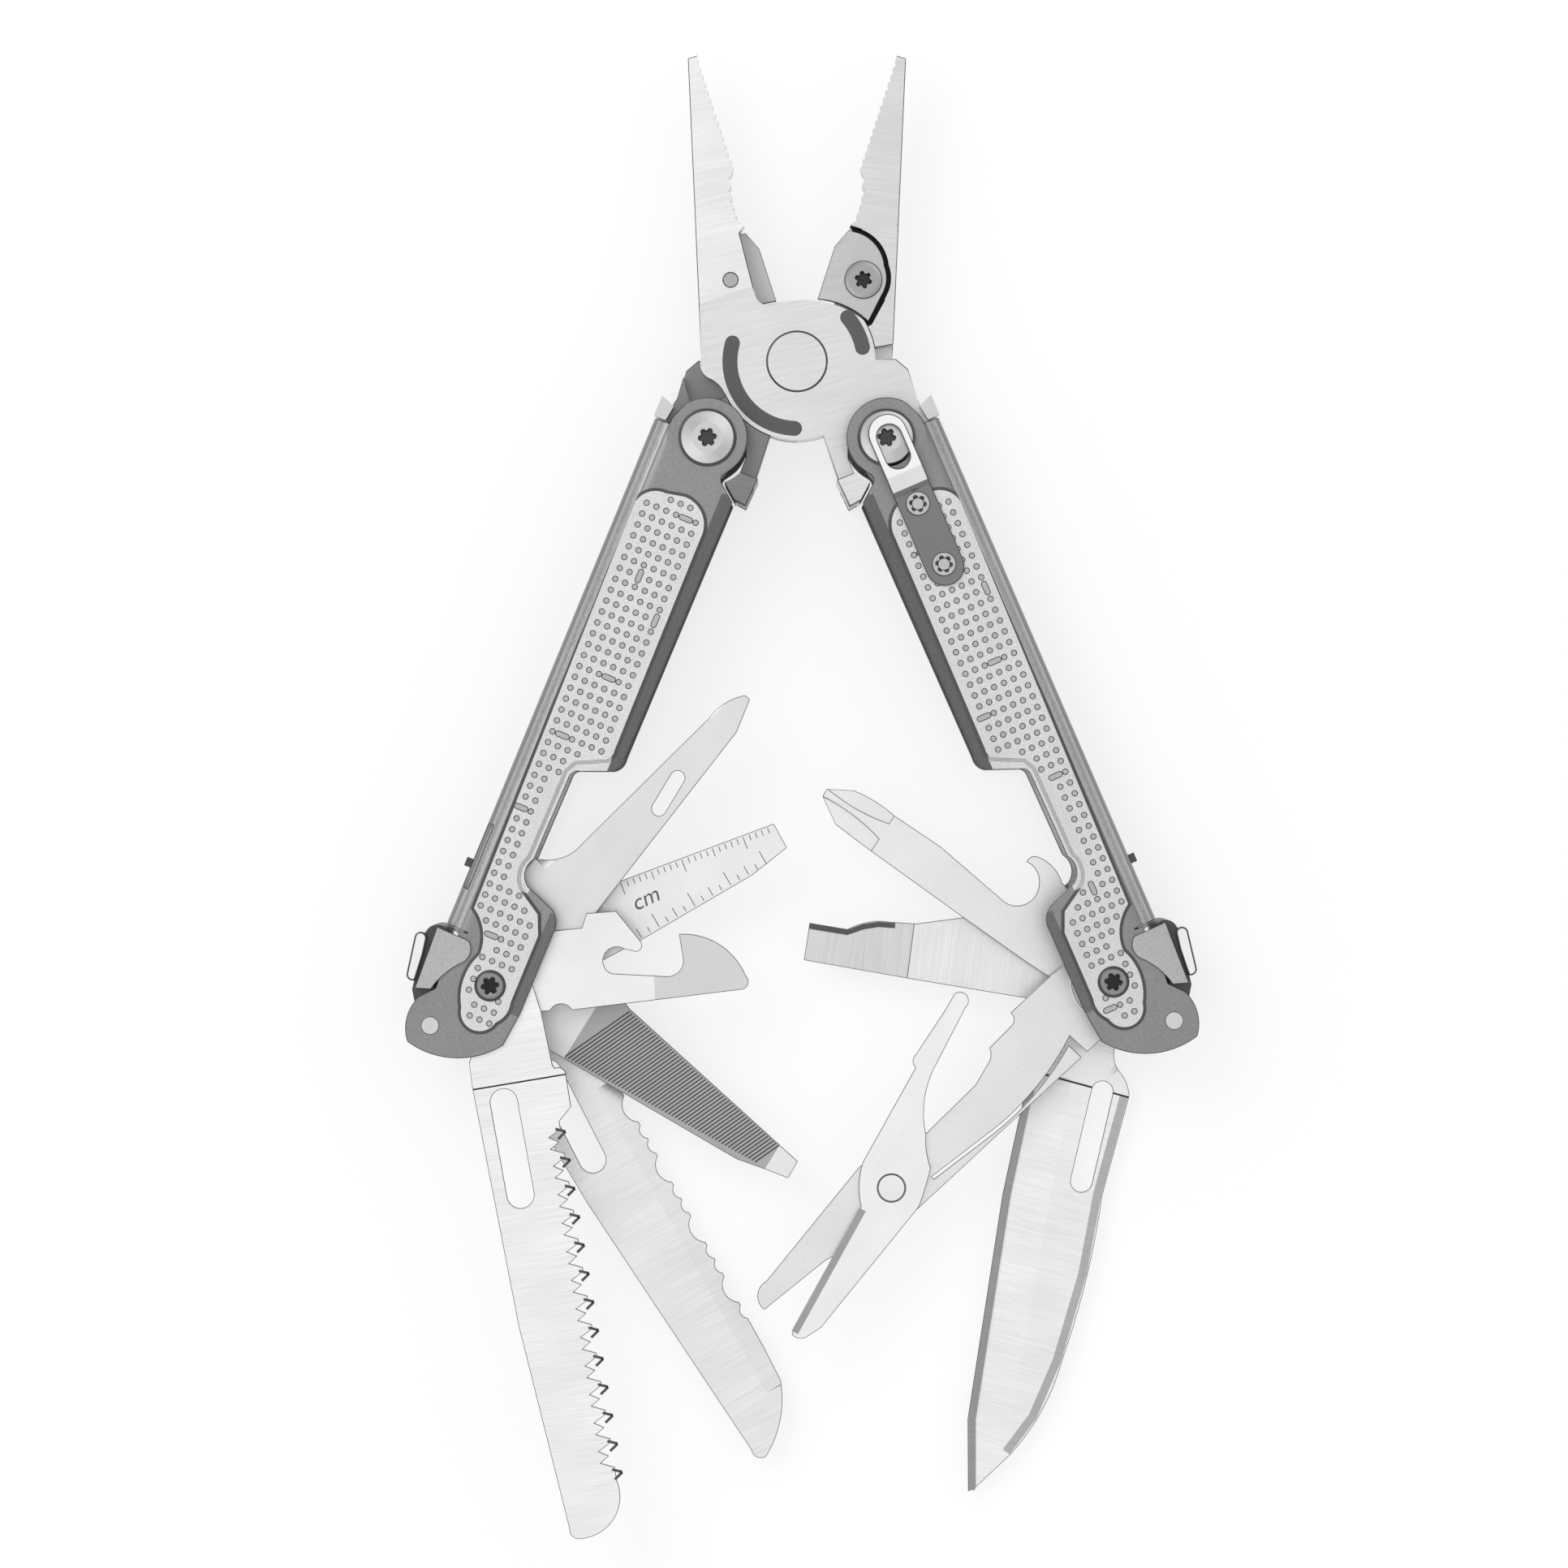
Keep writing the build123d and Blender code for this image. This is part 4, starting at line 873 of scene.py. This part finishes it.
class MULTITOOL_OT_handles(bpy.types.Operator):
    """Finishes the handle plates, pivots, locks and the pocket clip"""
    bl_idname = "multitool.handles"
    bl_label = "Finish Handles"

    def execute(self, context):
        look = context.scene.multitool_steel
        middle = Matrix.Translation((0, 0, MID_Z))
        panel_low = (PANEL_Z - MID_Z) / MM - PANEL_SLACK
        slope_low = (BORDER_Z - MID_Z) / MM + SLOPE_SLACK
        # painted shade on the slope between the panel and the border
        slope = look.dark_tone * 1.3
        levels = [(middle, {"Z": limits}, tone) for limits, tone in (
            ((panel_low, FAR), look.panel_tone), ((-FAR, -panel_low), look.panel_tone),
            ((slope_low, panel_low), slope), ((-panel_low, -slope_low), slope))]
        lever_top = {"Z": ((BORDER_Z - MID_Z) / MM + LEVER_SLACK, FAR)}
        for side, place in (("left", LEFT_HANDLE), ("right", RIGHT_HANDLE)):
            straight = local_frame(place.to_translation(), turn_of(place))

            def made(part, tone, roughness, grain, zones=()):
                return steel(f"{side}_{part}_steel", tone, roughness, grain, straight, zones)

            zones = [(place, {"X": along, "Y": across}, share * getattr(look, tone))
                     for along, across, tone, share in PLATE_ZONES]
            plate = made("plate", look.border_tone, 0.42, "tumbled", [*levels, *zones])
            dress(side + "_front_plate", plate, look.plate_edge)
            dress(side + "_back_plate", plate, look.plate_edge)
            lever = made("lever", look.dark_tone, 0.4, "tumbled", [(middle, lever_top, 0.45)])
            dress(side + "_lock_lever", lever, look.blade_edge)
            dress(side + "_lock_button", made("thumb", 0.85, 0.12, "smooth"),
                  look.plate_edge * 2)
            for node, tone in ((side + "_handle_pivot", 0.66), (side + "_tool_pivot", 0.30)):
                dress(node, turned(node + "_steel", tone, 0.24, head_of(node)),
                      look.plate_edge * 1.6)
            dress(side + "_lock_pin", made("pin", 0.6, 0.3, "lapped"), look.plate_edge)
            dark = made("dark", look.dark_tone, 0.4, "blasted")
            for part in ("pivot_washers", "tool_spacers", "spring_tab"):
                paint(f"{side}_{part}", dark)
            paint(side + "_stop_blocks", made("stop", 0.6, 0.25, "smooth"))
        polished = {"Z": ((top_of("right_clip_screws") - MID_Z) / MM - CLIP_TOP, FAR)}
        clip = steel("clip_steel", 0.2, 0.22, "lapped", RIGHT_HANDLE, [(middle, polished, 0.86)])
        dress("right_pocket_clip", clip, look.plate_edge)
        dress("right_clip_screws", steel("clip_screw_steel", 0.5, 0.25, "smooth"),
              look.plate_edge)
        return {"FINISHED"}


class MULTITOOL_OT_grip(bpy.types.Operator):
    """Puts the pattern of rings and long marks on the four grip panels"""
    bl_idname = "multitool.grip"
    bl_label = "Grip Pattern"

    def execute(self, context):
        grip = context.scene.multitool_grip
        look = context.scene.multitool_steel
        tree = grip_tree()
        along, across = GRID_COUNT
        rim = steel("grip_rim_steel", look.dark_tone * 0.8, 0.4, "smooth")
        dot = steel("grip_dot_steel", look.border_tone * 1.6, 0.35, "smooth")
        for side, sign, place in (("left", 1, LEFT_HANDLE), ("right", -1, RIGHT_HANDLE)):
            for face, up in (("front", 1.0), ("back", -1.0)):
                node = f"{side}_{face}_plate"
                level = top_of(node) if up > 0 else foot_of(node)
                for kind, filled, finish in (("rims", False, rim), ("dots", True, dot)):
                    grow(f"{side}_{face}_grip_{kind}", tree, {
                        "Plate": frame["nodes"][node], "Place": raised(place, GRID_CENTRE, level),
                        "Turn": turn_of(place), "Along": along, "Across": across,
                        "Pitch Along": grip.pitch_along, "Pitch Across": grip.pitch_across,
                        "Ring Radius": grip.ring_radius, "Rim": grip.rim,
                        "Pill Length": grip.pill_length, "Pill Share": grip.pill_share,
                        "Seed": grip.seed + sign, "Level": level, "Up": up, "Filled": filled,
                        "Material": finish}, side + "_handle")
        return {"FINISHED"}


class MULTITOOL_OT_tools(bpy.types.Operator):
    """Finishes the blades, drivers, openers, awl and scissors"""
    bl_idname = "multitool.tools"
    bl_label = "Finish Tools"

    def execute(self, context):
        look = context.scene.multitool_steel
        for node, (share, roughness, grain, bands) in TOOL_LOOKS.items():
            place = TOOL_FRAMES[node]
            zones = [(place, {"X": (low, high)}, look.blade_tone * band_share)
                     for low, high, band_share in bands]
            finish = steel(node + "_steel", look.blade_tone * share, roughness, grain, place,
                           zones, ACROSS if grain == "brushed" else 0.0)
            dress(node, finish, look.blade_edge)
        for strip in GROUND_STRIPS:
            ground_strip(*strip)
        dress("scissors_rivet", steel("rivet_steel", 0.8, 0.25, "smooth"), look.plate_edge)
        return {"FINISHED"}


class MULTITOOL_OT_cuts(bpy.types.Operator):
    """Puts the cuts on the file, the marks on the ruler and the grinds on the saw teeth"""
    bl_idname = "multitool.cuts"
    bl_label = "File Cuts and Ruler Marks"

    def execute(self, context):
        cuts = context.scene.multitool_cuts
        look = context.scene.multitool_steel
        # the file's cuts and the saw's tooth facets are dark bars: painted shade where the relief is too low to
        # shade itself
        stroke_shade = steel("groove_steel", look.dark_tone, 0.4, "smooth")
        etched = steel("etched_steel", look.dark_tone * 1.5, 0.5, "smooth")
        self.cut_file(cuts, stroke_shade)
        self.mark_ruler(cuts, etched)
        self.grind_teeth(stroke_shade)
        return {"FINISHED"}

    def grind_teeth(self, material):
        place = TOOL_FRAMES["saw"]
        grow("saw_tooth_grinds", tooth_tree(), {
            **TOOTH_GRINDS, "Height": MARK_HEIGHT,
            "Place": raised(place, FIRST_TOOTH, top_of("saw")), "Turn": turn_of(place),
            "Material": material}, "saw")

    def cut_file(self, cuts, material):
        place = TOOL_FRAMES["file"]
        slant = math.radians(FILE_CUT_SLANT) - turn_of(place)
        run = Vector((math.cos(slant), math.sin(slant)))
        low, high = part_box("file")
        middles, lengths = [], []
        for x in FILE_CUT_ENDS:
            # a point on the middle line, and where a cut through it meets the two edges
            middle = Vector((x, FILE_MIDDLE_Y + FILE_MIDDLE_SLOPE * x))
            ends = []
            for (x0, y0), (x1, y1) in FILE_EDGES:
                slope = (y1 - y0) / (x1 - x0)
                gap = y0 + slope * (x - x0) - middle.y
                ends.append(middle + run * gap / (run.y - slope * run.x))
            middles.append(raised(place, (ends[0] + ends[1]) / 2, high.z))
            lengths.append((ends[0] - ends[1]).length * MM * FILE_CUT_SHARE)
        grow("file_cuts", cut_tree(), {
            "Count": cuts.file_cuts, "Start": middles[0], "End": middles[1],
            "First Length": lengths[0], "Last Length": lengths[1],
            "Turn": math.radians(FILE_CUT_SLANT), "Width": cuts.cut_width,
            "Height": MARK_HEIGHT, "Other Face": low.z - high.z, "Material": material}, "file")

    def mark_ruler(self, cuts, material):
        place = TOOL_FRAMES["ruler_driver"]
        level = top_of("ruler_driver")
        tree = rule_tree()
        for name, (count, pitch, first, run, side, lengths, every) in RULER_SCALES.items():
            short, middle, long = (length * MM for length in lengths)
            grow(name, tree, {
                "Count": count, "Pitch": pitch * MM, "Short": short, "Middle": middle,
                "Long": long, "Middle Every": every[0], "Long Every": every[1],
                "Width": cuts.mark_width, "Height": MARK_HEIGHT,
                "Place": raised(place, first, level),
                "Turn": turn_of(place) + math.atan2(run[1], run[0]), "Side": side,
                "Material": material}, "ruler_driver")
        if cuts.lettering:
            self.write_unit(place, level, material)

    def write_unit(self, place, level, material):
        """The unit of the ruler's upper scale, as flat raised letters."""
        words = bpy.data.curves.new("ruler_unit", "FONT")
        words.body = "cm"
        words.size = 3.6 * MM
        words.shear = 0.2
        words.extrude = MARK_HEIGHT / 2
        text = new_object("ruler_unit_text", words)
        mesh = plain_mesh(text)
        bpy.data.objects.remove(text)
        turn = Matrix.Rotation(turn_of(place) + UNIT_TILT, 4, "Z")
        mesh.transform(Matrix.Translation(raised(place, UNIT_PLACE, level)) @ turn)
        mesh.materials.clear()
        mesh.materials.append(material)
        add_piece(new_object("ruler_unit", mesh), "ruler_driver")


class MULTITOOL_OT_stage(bpy.types.Operator):
    """Lays the floor, hangs the softbox, lights the room and sets the camera overhead"""
    bl_idname = "multitool.stage"
    bl_label = "Stage"

    def execute(self, context):
        stage = context.scene.multitool_stage
        self.floor(stage)
        self.room()
        self.softbox(stage)
        self.camera(context, stage)
        context.scene.view_settings.view_transform = "Standard"
        return {"FINISHED"}

    def floor(self, stage):
        half = stage.floor_size / 2
        mesh = bpy.data.meshes.new("floor")
        level = CAD_BOX[0].z - 0.02 * MM
        mesh.from_pydata([(-half, -half, level), (half, -half, level), (half, half, level),
                          (-half, half, level)], [], [(0, 1, 2, 3)])
        floor = new_object("floor", mesh)
        material = bpy.data.materials.new("paper")
        material.use_nodes = True
        nodes = Nodes(material.node_tree)
        shader = material.node_tree.nodes["Principled BSDF"].inputs
        tone = [channel * stage.floor_tone for channel in stage.paper]
        shader["Base Color"].default_value = (*tone, 1.0)
        shader["Roughness"].default_value = 0.9
        shader["Specular IOR Level"].default_value = 0.1
        path = nodes.add("ShaderNodeLightPath")
        seen = path.outputs["Is Camera Ray"]
        for ray in ("Is Glossy Ray", "Is Transmission Ray"):
            seen = nodes.math("MAXIMUM", seen, path.outputs[ray])
        glow = nodes.node("ShaderNodeEmission", Color=(*stage.paper, 1.0),
                          Strength=nodes.times(seen, stage.floor_lift))
        surface = material.node_tree.nodes["Material Output"].inputs["Surface"]
        both = nodes.add("ShaderNodeAddShader")
        nodes.feed(both.inputs[0], surface.links[0].from_socket)
        nodes.feed(both.inputs[1], glow.outputs[0])
        nodes.feed(surface, both.outputs[0])
        mesh.materials.append(material)

    def room(self):
        """A studio that is bright overhead and darker towards the horizon."""
        world = bpy.data.worlds.new("studio")
        bpy.context.scene.world = world
        world.use_nodes = True
        nodes = Nodes(world.node_tree)
        coords = nodes.add("ShaderNodeTexCoord")
        split = nodes.node("ShaderNodeSeparateXYZ", Vector=coords.outputs["Generated"])
        ramp = nodes.node("ShaderNodeValToRGB", Fac=split.outputs[2])
        stops = ramp.color_ramp.elements
        while len(stops) < len(ROOM_LEVELS):
            stops.new(0.5)
        for stop, (height, tone) in zip(stops, ROOM_LEVELS):
            stop.position = height
            stop.color = (tone, tone, tone, 1.0)
        background = world.node_tree.nodes["Background"].inputs
        nodes.feed(background["Color"], ramp.outputs[0])
        nodes.feed(background["Strength"], 1.0)

    def softbox(self, stage):
        lamp = bpy.data.lights.new("softbox", "AREA")
        lamp.shape = "DISK"
        lamp.size = 0.6
        lamp.energy = stage.key_power
        obj = new_object("softbox", lamp)
        obj.location = SOFTBOX_PLACE
        obj.rotation_mode = "QUATERNION"
        obj.rotation_quaternion = obj.location.to_track_quat("Z", "Y")

    def camera(self, context, stage):
        lens = bpy.data.cameras.new("overhead")
        lens.lens = stage.lens
        lens.sensor_width = 36.0
        camera = new_object("overhead", lens)
        distance = stage.view_width * stage.lens / lens.sensor_width
        camera.location = (PLIER_PIVOT.x + VIEW_CENTRE[0] * MM,
                           PLIER_PIVOT.y + VIEW_CENTRE[1] * MM, BORDER_Z + distance)
        lens.clip_start, lens.clip_end = 0.01, 20.0
        context.scene.camera = camera


class MULTITOOL_PT_panel(bpy.types.Panel):
    """Shows the operators and the settings of the multi tool"""
    bl_label = "Multi Tool"
    bl_idname = "MULTITOOL_PT_panel"
    bl_space_type = "VIEW_3D"
    bl_region_type = "UI"
    bl_category = "Multi Tool"

    def draw(self, context):
        for operator in OPERATORS:
            self.layout.operator(operator.bl_idname)
        for name in GROUPS:
            group = getattr(context.scene, name)
            box = self.layout.box()
            for key in group.__annotations__:
                box.prop(group, key)


GROUPS = {"multitool_steel": SteelSettings, "multitool_grip": GripSettings,
          "multitool_cuts": CutSettings, "multitool_stage": StageSettings}
OPERATORS = (MULTITOOL_OT_head, MULTITOOL_OT_handles, MULTITOOL_OT_grip, MULTITOOL_OT_tools,
             MULTITOOL_OT_cuts, MULTITOOL_OT_stage)


def register():
    for cls in (*GROUPS.values(), *OPERATORS, MULTITOOL_PT_panel):
        bpy.utils.register_class(cls)
    for name, cls in GROUPS.items():
        setattr(bpy.types.Scene, name, PointerProperty(type=cls))


def unregister():
    for name in GROUPS:
        delattr(bpy.types.Scene, name)
    for cls in (MULTITOOL_PT_panel, *reversed(OPERATORS), *GROUPS.values()):
        bpy.utils.unregister_class(cls)


def main():
    register()
    bpy.ops.multitool.head()
    bpy.ops.multitool.handles()
    bpy.ops.multitool.grip()
    bpy.ops.multitool.tools()
    bpy.ops.multitool.cuts()
    bpy.ops.multitool.stage()


if __name__ == "__main__":
    main()
